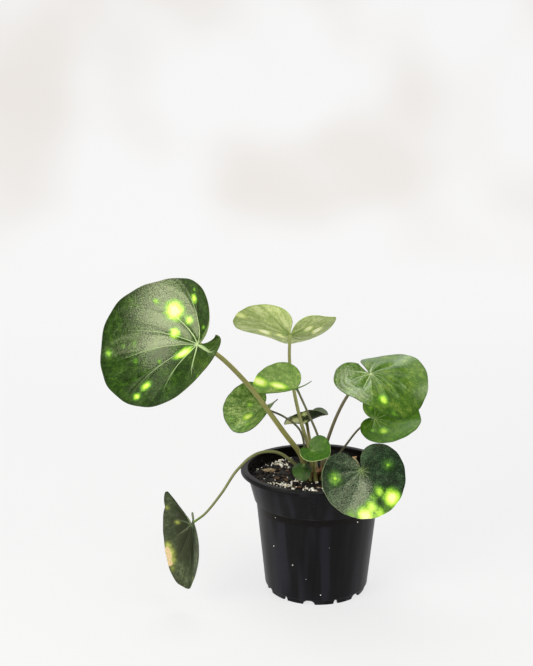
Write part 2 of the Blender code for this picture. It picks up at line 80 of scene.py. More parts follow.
# %% Place the camera
CAMERA_PLACE = (-53, -1147, 527)
CAMERA_DOWN = 12.39
FOCAL_PIXELS = 1150
IMAGE_HEIGHT = 666
SENSOR = 36

lens_data = bpy.data.cameras.new("camera")
camera = bpy.data.objects.new("camera", lens_data)
bpy.context.scene.collection.objects.link(camera)
camera.location = Vector(CAMERA_PLACE) * MM
camera.rotation_euler = (math.radians(90 - CAMERA_DOWN), 0, 0)
lens_data.sensor_width = SENSOR
lens_data.lens = FOCAL_PIXELS * SENSOR / IMAGE_HEIGHT
lens_data.clip_start, lens_data.clip_end = 0.01, 20
bpy.context.scene.camera = camera
print(f"camera lens {lens_data.lens:.1f} mm")

# %% [markdown]
# ## Helpers for meshes
# Most pieces here start as a flat grid of quads.  A grid can be wrapped into a leaf, a tube or a
# curled scale by moving its points, and a modifier then gives it thickness.  That keeps the faces
# even, which smooth shading needs, and one helper serves them all.

# %% Mesh helpers
def points_of(piece):
    flat = np.empty(len(piece.data.vertices) * 3, np.float32)
    piece.data.vertices.foreach_get("co", flat)
    return flat.reshape(-1, 3).astype(float)


def set_points(piece, points):
    piece.data.vertices.foreach_set("co", np.asarray(points, np.float32).ravel())
    piece.data.update()


def alone(piece):
    """Select one piece and make it active, so that the next operator acts on it only."""
    bpy.ops.object.select_all(action="DESELECT")
    piece.select_set(True)
    bpy.context.view_layer.objects.active = piece


def grid_piece(name, across, along):
    """A flat grid of quads; gives the object and each point's share of the way across and along."""
    bpy.ops.object.select_all(action="DESELECT")
    bpy.ops.mesh.primitive_grid_add(x_subdivisions=across, y_subdivisions=along, size=2)
    piece = bpy.context.object
    piece.name = piece.data.name = name
    flat = points_of(piece)
    return piece, (flat[:, 0] + 1) / 2, (flat[:, 1] + 1) / 2


def merge_doubles(piece, distance=2e-6, outward=False):
    alone(piece)
    bpy.ops.object.mode_set(mode="EDIT")
    bpy.ops.mesh.select_all(action="SELECT")
    bpy.ops.mesh.remove_doubles(threshold=distance)
    if outward:
        bpy.ops.mesh.normals_make_consistent(inside=False)
    bpy.ops.object.mode_set(mode="OBJECT")


def use_modifier(piece, kind, **settings):
    """Add one modifier with its settings and apply it."""
    alone(piece)
    step = piece.modifiers.new(kind.title(), kind)
    for key, value in settings.items():
        setattr(step, key, value)
    bpy.ops.object.modifier_apply(modifier=step.name)


def point_attribute(piece, name, values):
    layer = piece.data.attributes.new(name, "FLOAT", "POINT")
    layer.data.foreach_set("value", np.asarray(values, np.float32))


def point_uv(piece, name, across, along):
    """A UV map whose corners take the values of their points."""
    layer = piece.data.uv_layers.get(name) or piece.data.uv_layers.new(name=name)
    corner = np.empty(len(piece.data.loops), np.int32)
    piece.data.loops.foreach_get("vertex_index", corner)
    pairs = np.column_stack([across[corner], along[corner]])
    layer.data.foreach_set("uv", pairs.astype(np.float32).ravel())


def smooth(piece, angle=40):
    alone(piece)
    bpy.ops.object.shade_smooth_by_angle(angle=math.radians(angle))


def join_pieces(pieces):
    alone(pieces[0])
    for piece in pieces:
        piece.select_set(True)
    bpy.ops.object.join()
    return bpy.context.object


def dress(piece, slot, material=None, nodes=()):
    """Give a finished piece its material and its body, hide the CAD nodes that it stands for, and print its
    slot.
    """
    if material:
        piece.data.materials.clear()
        piece.data.materials.append(material)
    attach(piece, "root")
    if nodes:
        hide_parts(*nodes)
    print(f"{piece.name}: {len(piece.data.polygons)} faces, {slot}")


def merged_mesh(name, points, faces):
    """One mesh object from points in millimetres."""
    mesh = bpy.data.meshes.new(name)
    mesh.from_pydata((np.asarray(points) * MM).tolist(), [], faces)
    mesh.update()
    piece = bpy.data.objects.new(name, mesh)
    bpy.context.scene.collection.objects.link(piece)
    return piece


# %% [markdown]
# ## Helpers for materials
# A material is a small tree of nodes.  One function adds a node of any kind with its settings.  The
# inputs that are in use get their values in order or by name, and a value is a number, a hex colour or
# another node's output.  The function gives back an output, so one call can stand inside another.
# Hex values are what a paint program shows, and one function turns them to a shader's linear values.
# Settings that come back again and again have short names: TIMES, LESS and OVER for a Math node,
# which adds if it is told nothing, SOFT for a Map Range that eases in and out, and RGBA for colours.

# %% Material helpers
TIMES, LESS, OVER = (dict(operation=word) for word in ("MULTIPLY", "SUBTRACT", "DIVIDE"))
SOFT = dict(interpolation_type="SMOOTHSTEP")
RGBA = dict(data_type="RGBA")


def linear(hex_colour):
    out = []
    for start in (1, 3, 5):
        value = int(hex_colour[start:start + 2], 16) / 255
        out.append(value / 12.92 if value <= 0.04045 else ((value + 0.055) / 1.055) ** 2.4)
    return (*out, 1.0)


def per(size_mm):
    """Scale of a noise or a net whose blobs or cells are about size_mm across."""
    return 1 / (size_mm * MM)


def socket_name(word):
    return word.replace("_", " ").title().replace("Ior", "IOR")


def feed(tree, made, values, named):
    """Give a node's inputs their values, in order or by name."""
    used = [socket for socket in made.inputs if socket.enabled]
    for socket, value in [*zip(used, values), *((made.inputs[key], named[key]) for key in named)]:
        if isinstance(value, bpy.types.NodeSocket):
            tree.links.new(value, socket)
        else:
            socket.default_value = linear(value) if isinstance(value, str) else value


def node(tree, kind, *values, out=None, stops=(), **settings):
    """Add one node with its settings and links, and give back the output named, or else the first."""
    made = tree.nodes.new("ShaderNode" + kind)
    named = {}
    for word, value in settings.items():
        if socket_name(word) in made.inputs:
            named[socket_name(word)] = value
        else:
            setattr(made, word, value)
    if stops:
        bar = made.color_ramp.elements
        while len(bar) < len(stops):
            bar.new(0.5)
        for element, (place, colour) in zip(bar, stops):
            element.position, element.color = place, linear(colour)
    feed(tree, made, values, named)
    return made.outputs[out] if out else next(socket for socket in made.outputs if socket.enabled)


def new_material(name):
    """An empty material, with a function that adds nodes to it and one that sets its own shader."""
    made = bpy.data.materials.new(name)
    made.use_nodes = True
    tree = made.node_tree

    def surface(**inputs):
        named = {socket_name(word): value for word, value in inputs.items()}
        feed(tree, tree.nodes["Principled BSDF"], (), named)

    return made, partial(node, tree), surface


# %% [markdown]
# ## Floor and light
# The plant stands on a plain pale floor that rises at the back into a plain wall.  It is like the sheet
# of milky acrylic on a product table: it is lit from behind too, so that shadows on it stay faint, and
# a few soft warm patches of painted shadow show where it rises.  Large area lights give the broad soft
# sheen on the leaves: the one at the upper left is where the biggest leaf mirrors it, and a smaller one
# at the side carries that sheen down the leaf.  The one at the right does the same for the dark leaf in
# front of the pot, the one overhead opens the shadows, and the one behind the plant gleams along the folds.

# %% Make the floor and the wall
# The sheet's colour, and how brightly it glows near the plant and far from it
SHEET_GREY, SHEET_GLOW = "#686868", (0.72, 0.83)
SHEET_WIDE, SHEET_LONG, SHEET_ROWS = 9.0, 7.0, 60
FLOOR_FRONT, FLOOR_LONG = -2.6, 4.0


def make_sweep():
    """A sheet in metres: the floor, a quarter turn of 1 m radius, and the wall."""
    sweep, across, along = grid_piece("floor_sweep", 2, SHEET_ROWS)
    past_floor = along * SHEET_LONG - FLOOR_LONG
    turn = np.clip(past_floor, 0, math.pi / 2)
    back = FLOOR_FRONT + FLOOR_LONG + np.minimum(past_floor, 0) + np.sin(turn)
    up = 1 - np.cos(turn) + np.maximum(past_floor - math.pi / 2, 0)
    set_points(sweep, np.column_stack([(across - 0.5) * SHEET_WIDE, back, up]))
    smooth(sweep, 60)
    return sweep


def lit_acrylic():
    """Milky acrylic lit from behind: plain, with soft warm patches of painted shadow some 420 mm across on
    the wall.
    """
    material, add, surface = new_material("lit_acrylic_sheet")
    place = add("TexCoord", out="Object")
    # Painted shadow: soft warm patches dim the sheet's glow where it rises, like soft shadows of foliage
    patch = add("MapRange", add("TexNoise", place, scale=per(420), detail=1), 0.34, 0.70, **SOFT)
    above = add("MapRange", add("SeparateXYZ", place, out="Z"), 0.02, 0.25, **SOFT)
    far = add("VectorMath", place, operation="LENGTH")
    surface(base_color=SHEET_GREY, roughness=0.9, specular_ior_level=0.1,
            emission_color=add("ValToRGB", add("Math", patch, above, **TIMES),
                               stops=[(0.0, "#FFFFFF"), (1.0, "#F3EEE9")]),
            emission_strength=add("MapRange", far, 0.3, 2.2, *SHEET_GLOW, **SOFT))
    return material


floor = make_sweep()
floor.data.materials.append(lit_acrylic())
print(f"{floor.name}: {len(floor.data.polygons)} faces")

# %% Set the lights
LIGHTS = (
    # name, place, aimed at, width, height, watts, colour
    ("left_softbox", (-1.11, -1.07, 0.81), (-0.12, -0.03, 0.26), 1.04, 0.76, 25, "#FFFCF6"),
    ("side_softbox", (-1.13, 0.24, 1.47), (-0.12, -0.03, 0.26), 0.60, 0.36, 1.6, "#FFFCF6"),
    ("right_softbox", (0.96, -0.77, 1.31), (0.04, -0.10, 0.14), 0.80, 0.34, 10.5, "#FFFFFF"),
    ("top_softbox", (0.12, -0.16, 1.70), (0.02, -0.02, 0.20), 1.10, 1.10, 9.5, "#FFFDF6"),
    ("back_softbox", (-0.22, 0.96, 1.71), (0.09, 0.00, 0.22), 1.00, 0.50, 14, "#FBFCFF"),
)
# How bright the studio's air is on the plant and as the camera sees it
AIR, AIR_SEEN, AIR_COLOUR = 0.13, 0.86, "#F8F6F3"


def make_light(name, place, target, width, height, watts, colour):
    data = bpy.data.lights.new(name, "AREA")
    data.shape = "RECTANGLE"
    data.size, data.size_y, data.energy = width, height, watts
    data.color = linear(colour)[:3]
    light = bpy.data.objects.new(name, data)
    bpy.context.scene.collection.objects.link(light)
    light.location = place
    light.rotation_euler = (Vector(target) - Vector(place)).to_track_quat("-Z", "Y").to_euler()
    light.visible_camera = False


def fill_air():
    world = bpy.data.worlds.new("studio_air")
    world.use_nodes = True
    air = world.node_tree
    seen = node(air, "LightPath", out="Is Camera Ray")
    feed(air, air.nodes["Background"], (AIR_COLOUR, node(air, "MapRange", seen, 0, 1, AIR, AIR_SEEN)), {})
    return world


for light in LIGHTS:
    make_light(*light)
bpy.context.scene.world = fill_air()
bpy.context.scene.view_settings.view_transform = "Standard"
print(f"{len(LIGHTS)} area lights")

# %% [markdown]
# ## The pot
# A nursery pot is one thin moulding of black polypropylene with a rolled lip, a flared collar and a
# foot ring with gaps that let water out.  It could be built from stacked rings, but a moulding of
# this kind is turned about its axis, so its profile is drawn once and spun.  The gaps and the drain
# holes are then cut with a Boolean, as the mould's own pins would leave them.

# %% Spin the pot
POT_TOP, LIP_RADIUS, LIP_INNER_RADIUS, LIP_DEPTH = 131.5, 80.0, 72.7, 4.2
COLLAR_TOP_RADIUS, COLLAR_LOW_RADIUS, COLLAR_LOW = 73.6, 65.6, 97.0
BODY_TOP_RADIUS, BODY_LOW_RADIUS, BODY_LOW = 63.8, 54.3, 5.4
WALL = 1.2
FOOT_OUTER_RADIUS, FOOT_INNER_RADIUS = 52.4, 49.4
PLATE_LOW, PLATE_HIGH = 2.0, 3.6
POT_STEPS = 180


def pot_inner_radius(z):
    """Radius of the pot's inside at a height below the lip."""
    if z >= COLLAR_LOW:
        share = (z - COLLAR_LOW) / (POT_TOP - LIP_DEPTH - COLLAR_LOW)
        return COLLAR_LOW_RADIUS - WALL + share * (COLLAR_TOP_RADIUS - COLLAR_LOW_RADIUS)
    share = (z - BODY_LOW) / (COLLAR_LOW - BODY_LOW)
    return BODY_LOW_RADIUS - WALL + share * (BODY_TOP_RADIUS - BODY_LOW_RADIUS)


def rounded(corners, steps=4):
    """A closed profile whose corners, given as (radius, height, fillet), are rounded."""
    out = []
    for k, (r, z, fillet) in enumerate(corners):
        here = np.array([r, z])
        if not fillet:
            out.append(here)
            continue
        before = np.array(corners[k - 1][:2]) - here
        after = np.array(corners[(k + 1) % len(corners)][:2]) - here
        start = here + before / np.linalg.norm(before) * fillet
        end = here + after / np.linalg.norm(after) * fillet
        for step in range(steps + 1):
            t = step / steps
            out.append((1 - t) ** 2 * start + 2 * t * (1 - t) * here + t ** 2 * end)
    return np.array(out)


FOOT_BEVEL = 0.9
POT_PROFILE = [
    (0, PLATE_HIGH, 0),
    (BODY_LOW_RADIUS - WALL - 1.8, PLATE_HIGH, 0.8),
    (BODY_LOW_RADIUS - WALL, PLATE_HIGH + 1.8, 0.8),
    (pot_inner_radius(COLLAR_LOW - 0.5), COLLAR_LOW - 0.5, 0.5),
    (pot_inner_radius(COLLAR_LOW + 1.6), COLLAR_LOW + 1.6, 0.5),
    (COLLAR_TOP_RADIUS - WALL, POT_TOP - LIP_DEPTH, 1.2),
    (LIP_INNER_RADIUS, POT_TOP, 1.2),
    (LIP_RADIUS, POT_TOP, 1.6),
    (LIP_RADIUS, POT_TOP - LIP_DEPTH, 0.4),
    (LIP_RADIUS - WALL, POT_TOP - LIP_DEPTH, 0.4),
    (LIP_RADIUS - WALL, POT_TOP - 1.4, 0.4),
    (COLLAR_TOP_RADIUS + 0.7, POT_TOP - 1.4, 0.6),
    (COLLAR_TOP_RADIUS, POT_TOP - LIP_DEPTH, 1.0),
    (COLLAR_LOW_RADIUS, COLLAR_LOW + 0.7, 0.5),
    (BODY_TOP_RADIUS, COLLAR_LOW, 0.6),
    (BODY_LOW_RADIUS, BODY_LOW, 0.9),
    (FOOT_OUTER_RADIUS, BODY_LOW - FOOT_BEVEL, 0.5),
    (FOOT_OUTER_RADIUS - FOOT_BEVEL / 2, 0, 0.4),
    (FOOT_INNER_RADIUS, 0, 0.4),
    (FOOT_INNER_RADIUS - FOOT_BEVEL / 2, PLATE_LOW, 0.4),
    (0, PLATE_LOW, 0),
]


def spin_pot():
    profile = rounded(POT_PROFILE)
    count = len(profile)
    mesh = bpy.data.meshes.new("pot_moulding")
    points = [(r * MM, 0, z * MM) for r, z in profile]
    mesh.from_pydata(points, [(k, k + 1) for k in range(count - 1)], [])
    pot = bpy.data.objects.new("pot_moulding", mesh)
    bpy.context.scene.collection.objects.link(pot)
    alone(pot)
    bpy.ops.object.mode_set(mode="EDIT")
    bpy.ops.mesh.select_all(action="SELECT")
    bpy.ops.mesh.spin(steps=POT_STEPS, angle=2 * math.pi, center=(0, 0, 0), axis=(0, 0, 1))
    bpy.ops.object.mode_set(mode="OBJECT")
    merge_doubles(pot, 1e-5, outward=True)
    return pot


pot = spin_pot()
print(f"pot spun: {len(pot.data.polygons)} faces")

# %% Cut the foot gaps and the drain holes
FOOT_GAPS, WIDE_GAP_ANGLE, NARROW_GAP_ANGLE = 6, -100.5, -69.5
WIDE_GAP_HALF, NARROW_GAP_HALF, FOOT_GAP_HEIGHT = 6.0, 2.4, 4.6
DRAIN_RADIUS, DRAIN_RING = 4.5, 36.0
CUTTER_SIDES = 48


def cutter(place, direction, depth, half_wide, half_high):
    bpy.ops.object.select_all(action="DESELECT")
    bpy.ops.mesh.primitive_cylinder_add(vertices=CUTTER_SIDES, radius=MM, depth=depth * MM)
    tool = bpy.context.object
    turn = Vector(direction).to_track_quat("Z", "Y").to_matrix()
    shaped = points_of(tool) * np.array([half_wide, half_high, 1])
    set_points(tool, shaped @ np.array(turn).T + np.array(place) * MM)
    return tool


def cut_all(pot, tools):
    """Join the cutters and take them out of the pot."""
    joined = join_pieces(tools)
    use_modifier(pot, "BOOLEAN", object=joined, operation="DIFFERENCE", solver="EXACT")
    bpy.data.objects.remove(joined, do_unlink=True)
    print(f"{len(tools)} openings cut, {len(pot.data.polygons)} faces left")


FOOT_MIDDLE = (FOOT_OUTER_RADIUS + FOOT_INNER_RADIUS) / 2
GAP_DEPTH = 2 * (FOOT_OUTER_RADIUS - FOOT_INNER_RADIUS) + 0.6
foot_cutters, drain_cutters = [], []
for k in range(FOOT_GAPS):
    for start, half in ((WIDE_GAP_ANGLE, WIDE_GAP_HALF), (NARROW_GAP_ANGLE, NARROW_GAP_HALF)):
        angle = math.radians(start + k * 360 / FOOT_GAPS)
        out = (math.cos(angle), math.sin(angle), 0)
        place = (FOOT_MIDDLE * out[0], FOOT_MIDDLE * out[1], 0)
        foot_cutters.append(cutter(place, out, GAP_DEPTH, half, FOOT_GAP_HEIGHT))
    angle = math.radians(WIDE_GAP_ANGLE + k * 360 / FOOT_GAPS)
    place = (DRAIN_RING * math.cos(angle), DRAIN_RING * math.sin(angle), PLATE_LOW)
    drain_cutters.append(cutter(place, (0, 0, 1), 2 * PLATE_HIGH, DRAIN_RADIUS, DRAIN_RADIUS))
cut_all(pot, foot_cutters)
cut_all(pot, drain_cutters)

# %% [markdown]
# ## Black polypropylene
# Injection-moulded polypropylene has a satin skin: dark, with faint streaks where the melt flowed down
# the wall, and broad pale bluish bands down the wall are painted reflections.  Handling leaves fine
# scuffs that are duller than the rest, and dust gathers in them and along the ledge under the collar.
# The streaks and the painted bands are noise that is stretched along the height.

# %% Finish the pot
LEDGE_TOP = COLLAR_LOW + 2
LIP_FOOT = POT_TOP - LIP_DEPTH


def moulded_polypropylene():
    material, add, surface = new_material("injection_moulded_polypropylene")
    place = add("TexCoord", out="Object")
    flow = add("TexNoise", add("Mapping", place, scale=(1, 1, 0.06)), scale=per(5), detail=3)
    # Painted reflections: broad pale bluish bands, stretched along the height
    painted_reflection_band = add("TexNoise", add("Mapping", place, scale=(1, 1, 0.03)), scale=per(15), detail=1)
    patch = add("TexNoise", place, scale=per(28), detail=3, roughness=0.6)
    scuff = add("TexNoise", place, scale=per(1.6), detail=4, roughness=0.7)
    colour = add("ValToRGB", flow, stops=[(0.3, "#0A0A0C"), (0.7, "#121214")])
    painted_reflection_band = add("Math", add("MapRange", painted_reflection_band, 0.46, 0.64, **SOFT), 0.75, **TIMES)
    colour = add("Mix", painted_reflection_band, colour, "#212128", **RGBA)
    # Dust lies in the scuffs and along the ledge under the collar
    scuffed = add("Math", add("MapRange", scuff, 0.56, 0.78, **SOFT),
                  add("MapRange", patch, 0.45, 0.75, **SOFT), **TIMES)
    level = add("SeparateXYZ", place, out="Z")
    off_ledge = add("Math", add("Math", level, (COLLAR_LOW + 0.6) * MM, **LESS), operation="ABSOLUTE")
    ledge = add("Math", add("MapRange", off_ledge, 0.2 * MM, 0.8 * MM, 1, 0, **SOFT),
                add("MapRange", patch, 0.46, 0.60, **SOFT), **TIMES)
    dust = add("Math", scuffed, ledge, operation="MAXIMUM")
    colour = add("Mix", add("Math", dust, 0.30, **TIMES), colour, "#5A5856", **RGBA)
    # The inside of the collar is painted darker, as painted shade, and stained brown by the mix
    inner_low, inner_high = pot_inner_radius(LEDGE_TOP), pot_inner_radius(LIP_FOOT)
    slope = (inner_high - inner_low) / (LIP_FOOT - LEDGE_TOP)
    wall = add("Math", level, slope, (inner_low - slope * LEDGE_TOP) * MM, operation="MULTIPLY_ADD")
    radius = add("VectorMath", add("VectorMath", place, (1, 1, 0), **TIMES), operation="LENGTH")
    inside = add("MapRange", add("Math", radius, wall, **LESS), 0.3 * MM, 0.9 * MM, 1, 0, **SOFT)
    mix_stain_and_shade = add("ValToRGB", scuff, stops=[(0.4, "#040404"), (0.75, "#1A1510")])
    rough = add("Math", add("MapRange", flow, 0.2, 0.8, 0.34, 0.44), add("Math", dust, 0.25, **TIMES))
    relief = add("Bump", height=flow, distance=0.10 * MM)
    surface(specular_ior_level=0.10, base_color=add("Mix", inside, colour, mix_stain_and_shade, **RGBA),
            roughness=rough, normal=add("Bump", height=scuff, distance=0.02 * MM, normal=relief))
    return material


smooth(pot, 30)
dress(pot, "pot_plastic", moulded_polypropylene(), ["pot"])

# %% [markdown]
# ## The potting mix
# Potting mix is crumbs of dark wet peat, slivers of bark, and puffed white perlite grains 2 to 4 mm
# across.  The CAD solid gives the height of the surface everywhere, so crumbs are scattered over it by
# casting a ray down at each place.  Four rough lumps are modelled, and each crumb is a copy of one with
# its own size and turn, all in one mesh, because separate objects would only be slower.

# %% Shape the lumps and scatter them
SOIL_TOP = 119.3
SOIL_REACH = pot_inner_radius(SOIL_TOP) - 1.6
# A ray that lands this much below the surface has gone down a stalk's hole
HOLE_DEPTH = 3
# Number of lump shapes, and the range of a crumb's three half sizes as shares of its size
LUMPS = 4
UNEVEN_SIZE = 0.65, 1.0


def soil_surface():
    data = frame["nodes"]["soil"].data
    return BVHTree.FromPolygons([v.co for v in data.vertices], [list(p.vertices) for p in data.polygons])


def height_at(tree, x, y):
    """Height of the mix in millimetres, or None over a stalk's hole."""
    hit = tree.ray_cast(Vector((x * MM, y * MM, 0.2)), Vector((0, 0, -1)))[0]
    if hit is None or hit.z / MM < SOIL_TOP - HOLE_DEPTH:
        return None
    return hit.z / MM


def lumps(subdivisions, first_seed, unevenness):
    """A few rough lumps of radius 1, each as its points and faces."""
    out = []
    for seed in range(first_seed, first_seed + LUMPS):
        bpy.ops.object.select_all(action="DESELECT")
        bpy.ops.mesh.primitive_ico_sphere_add(subdivisions=subdivisions, radius=1)
        piece = bpy.context.object
        points = points_of(piece)
        swing = np.random.default_rng(seed).uniform(-1, 1, len(points))
        faces = np.array([list(p.vertices) for p in piece.data.polygons])
        out.append((points * (1 + unevenness * swing)[:, None], faces))
        bpy.data.objects.remove(piece, do_unlink=True)
    return out


def uneven(draw, size):
    return size * draw.uniform(*UNEVEN_SIZE, 3)


def any_turn(draw):
    """A random turn as a 3 by 3 matrix."""
    return np.array(Quaternion(draw.normal(size=4)).normalized().to_matrix())


def scatter(name, shapes, places):
    """Copies of the shapes in one mesh; places are (shape, centre, half sizes, turn) in millimetres."""
    points, faces, count = [], [], 0
    for pick, centre, sizes, turn in places:
        shape, rim = shapes[pick]
        points.append((shape * sizes) @ turn.T + centre)
        faces.append(rim + count)
        count += len(shape)
    return merged_mesh(name, np.vstack(points), np.vstack(faces).tolist())


def crumb_places(draw, tree, count, low, high, sunk, centres=None, spread=0):
    """Places for crumbs of low to high mm, all over the mix or round the given centres."""
    out = []
    while len(out) < count:
        if centres is None:
            radius, angle = SOIL_REACH * math.sqrt(draw.random()), draw.uniform(0, 2 * math.pi)
            x, y = radius * math.cos(angle), radius * math.sin(angle)
        else:
            cx, cy = centres[draw.integers(len(centres))]
            x, y = cx + draw.normal() * spread, cy + draw.normal() * spread
        size = draw.uniform(low, high)
        z = height_at(tree, x, y)
        if z is None or math.hypot(x, y) + size > SOIL_REACH:
            continue
        sizes = uneven(draw, size)
        out.append((draw.integers(LUMPS), (x, y, z + size * (0.5 - sunk)), sizes, any_turn(draw)))
    return out


def wall_places(draw, count, climb):
    """Places of crumbs that cling to the pot's inside, fewer the higher they are."""
    out = []
    for _ in range(count):
        angle, z = draw.uniform(0, 2 * math.pi), SOIL_TOP + climb * draw.random() ** 2
        size = draw.uniform(0.5, 1.5)
        radius = pot_inner_radius(z) - 0.55 * size
        place = (radius * math.cos(angle), radius * math.sin(angle), z)
        sizes = uneven(draw, size)
        out.append((draw.integers(LUMPS), place, sizes, any_turn(draw)))
    return out


MIX = soil_surface()
SEEDED = np.random.default_rng(21)
crumb_list = (crumb_places(SEEDED, MIX, 900, 0.9, 2.3, 0.45) + crumb_places(SEEDED, MIX, 160, 2.3, 3.8, 0.5)
              + wall_places(SEEDED, 420, 6.5))
crumbs = scatter("peat_crumbs", lumps(2, 0, 0.22), crumb_list)
print(f"{len(crumb_list)} crumbs")

# %% [markdown]
# Perlite floats up when a pot is watered, so the white grains lie on top and in drifts.  Most of them
# lie at the left and along the front, where the photograph shows them, with single grains all over.
# The slivers of bark are the same kind of lump, pressed long and thin.

# %% Scatter the perlite and the bark
# Middles of the drifts in mm; BIG_GRAIN is one grain's centre and half sizes
DRIFTS = [(-51, 64), (-57, 45), (-63, 31), (-45, 60), (-35, 54), (-32, 35), (-41, 35), (-39, -20),
          (-31, -29), (-29, -35), (-23, -18), (-12, -35), (-6, -39), (1, -40), (-67, 23), (-27, 62),
          (-49, -26), (20, -30), (35, 20), (52, -14), (30, 55)]
DRIFT_SPREAD = 3.6
BIG_GRAIN = (-1.0, -19.0, SOIL_TOP + 1.6), np.array([1.7, 1.5, 1.4])
SLIVER_SHAPE, SLIVER_LEAN = np.array([1.4, 0.32, 0.22]), 0.2


def sliver_turn(draw):
    """A random heading, with the sliver leaning a little out of the level."""
    heading = draw.uniform(0, 2 * math.pi)
    return np.array([[math.cos(heading), -math.sin(heading), 0],
                     [math.sin(heading), math.cos(heading), SLIVER_LEAN], [0, -SLIVER_LEAN, 1]])


perlite_shapes = lumps(2, 10, 0.24)
perlite_list = (crumb_places(SEEDED, MIX, 230, 0.5, 1.9, 0.1, DRIFTS, DRIFT_SPREAD)
                + crumb_places(SEEDED, MIX, 90, 0.4, 1.2, 0.2) + [(1, *BIG_GRAIN, np.eye(3))])
perlite = scatter("perlite_grains", perlite_shapes, perlite_list)
sliver_list = [(pick, centre, SLIVER_SHAPE * sizes[0], sliver_turn(SEEDED))
               for pick, centre, sizes, _ in crumb_places(SEEDED, MIX, 130, 1.2, 3.4, 0.2)]
slivers = scatter("bark_slivers", lumps(1, 20, 0.2), sliver_list)
print(f"{len(perlite_list)} perlite grains, {len(sliver_list)} slivers")

# %% [markdown]
# Wet peat is almost black with a brown tinge, and it glints a little where water lies.  Perlite is a
# puffed volcanic glass, chalk white with faint grey pits.  Dry bark has long soft fibres and darker
# cracks between them, and the same finish in other tans will do for the dry leaf sheaths too.

# %% Finish the mix
FIBRE_HEADING, FIBRE_STRETCH = -25, 0.25


def wet_peat():
    material, add, surface = new_material("wet_peat_mix")
    place = add("TexCoord", out="Object")
    clod = add("TexNoise", place, scale=per(5), detail=3, roughness=0.6)
    fine = add("TexNoise", place, scale=per(0.9), detail=4, roughness=0.7)
    colour = add("ValToRGB", clod, stops=[(0.30, "#070504"), (0.55, "#120C09"), (0.80, "#261A13")])
    relief = add("Bump", height=clod, distance=0.8 * MM)
    surface(ior=1.38, roughness=add("MapRange", fine, 0.3, 0.7, 0.55, 0.9),
            base_color=add("Mix", add("MapRange", fine, 0.60, 0.75, 0, 0.5, **SOFT), colour, "#4A3626",
                           **RGBA),
            normal=add("Bump", height=fine, distance=0.5 * MM, normal=relief))
    return material


def puffed_perlite():
    material, add, surface = new_material("puffed_perlite")
    place = add("TexCoord", out="Object")
    pits = add("TexNoise", place, scale=per(0.5), detail=3, roughness=0.6)
    tone = add("TexNoise", place, scale=per(6), detail=1)
    colour = add("ValToRGB", tone, stops=[(0.35, "#CFC4AE"), (0.5, "#F2EDE0"), (0.65, "#FFFDF6")])
    surface(roughness=0.85, normal=add("Bump", height=pits, distance=0.25 * MM),
            base_color=add("Mix", add("MapRange", pits, 0.55, 0.75, 0, 0.5, **SOFT), colour, "#8A7F70",
                           **RGBA))
    return material


def dry_bark(name, dark, light, pale):
    """Tan bark: long soft fibres with darker cracks."""
    material, add, surface = new_material(name)
    drawn = add("Mapping", add("TexCoord", out="Object"), rotation=(0, 0, math.radians(FIBRE_HEADING)),
                scale=(FIBRE_STRETCH, 1, 1))
    fibre = add("TexNoise", drawn, scale=per(0.9), detail=4, roughness=0.65)
    surface(roughness=0.8, normal=add("Bump", height=fibre, distance=0.4 * MM),
            base_color=add("ValToRGB", fibre, stops=[(0.3, dark), (0.5, light), (0.7, pale)]))
    return material


PEAT, PERLITE = wet_peat(), puffed_perlite()
soil = frame["nodes"]["soil"]
soil.data.materials.clear()
soil.data.materials.append(PEAT)
for piece, finish in ((crumbs, PEAT), (perlite, PERLITE),
                      (slivers, dry_bark("bark_slivers", "#2B1A10", "#6B4A2E", "#A07C52"))):
    smooth(piece, 35)
    dress(piece, "soil_mix", finish)

# %% [markdown]
# ## The shape of a leaf
# Each blade is a thin round sheet with a notch where its stalk joins.  Its outline is a cosine raised
# to a power: a low power gives full base lobes.  The two halves fold up along the midrib and curl
# on, the tip and the base bow, and broad waves run round the margin.  These are the values of the
# CAD model, so that the finer blade lies where the solid one does.  Angles run round the joint from
# the midrib, and a share of 1 is the margin.

# %% Leaf values
BLADE_THICKNESS = 0.75
RIPPLES, RIPPLE = 9, 0.004
WAVES, WAVE_RISE = 3, 2.2
LOBE_START = math.radians(112)
STALK_DEPTH, STALK_RING, CROWN_CENTRE = 10.0, 10.8, (-2.0, -2.0)
# The least bend, because the formulas below divide by it
TINY = 1e-6

# The place of the joint in mm; the midrib's heading, pitch and roll in degrees; its length and the
# width of the left and right half in mm; the outline's power on each half; the angle of the notch; the
# fold and the curl of each half; the bow of tip and base; the depth and phase of the waves; where the
# stalk stands on its ring; its radius at foot and top; points on its way; and the fine grid's size
LEAF_VALUES = ("name", "joint", "heading", "pitch", "roll", "length", "halves", "fullness", "notch", "fold",
               "curl", "bow", "wave", "stand", "stalk", "route", "fine")


def leaf(*values, crease=0.16, lobe=(0, 0, 0, 1)):
    """One leaf; crease is its fold's width, and lobe one base lobe's lift, set-back, spread and side."""
    return dict(zip(LEAF_VALUES, values), crease=crease, lobe=lobe)


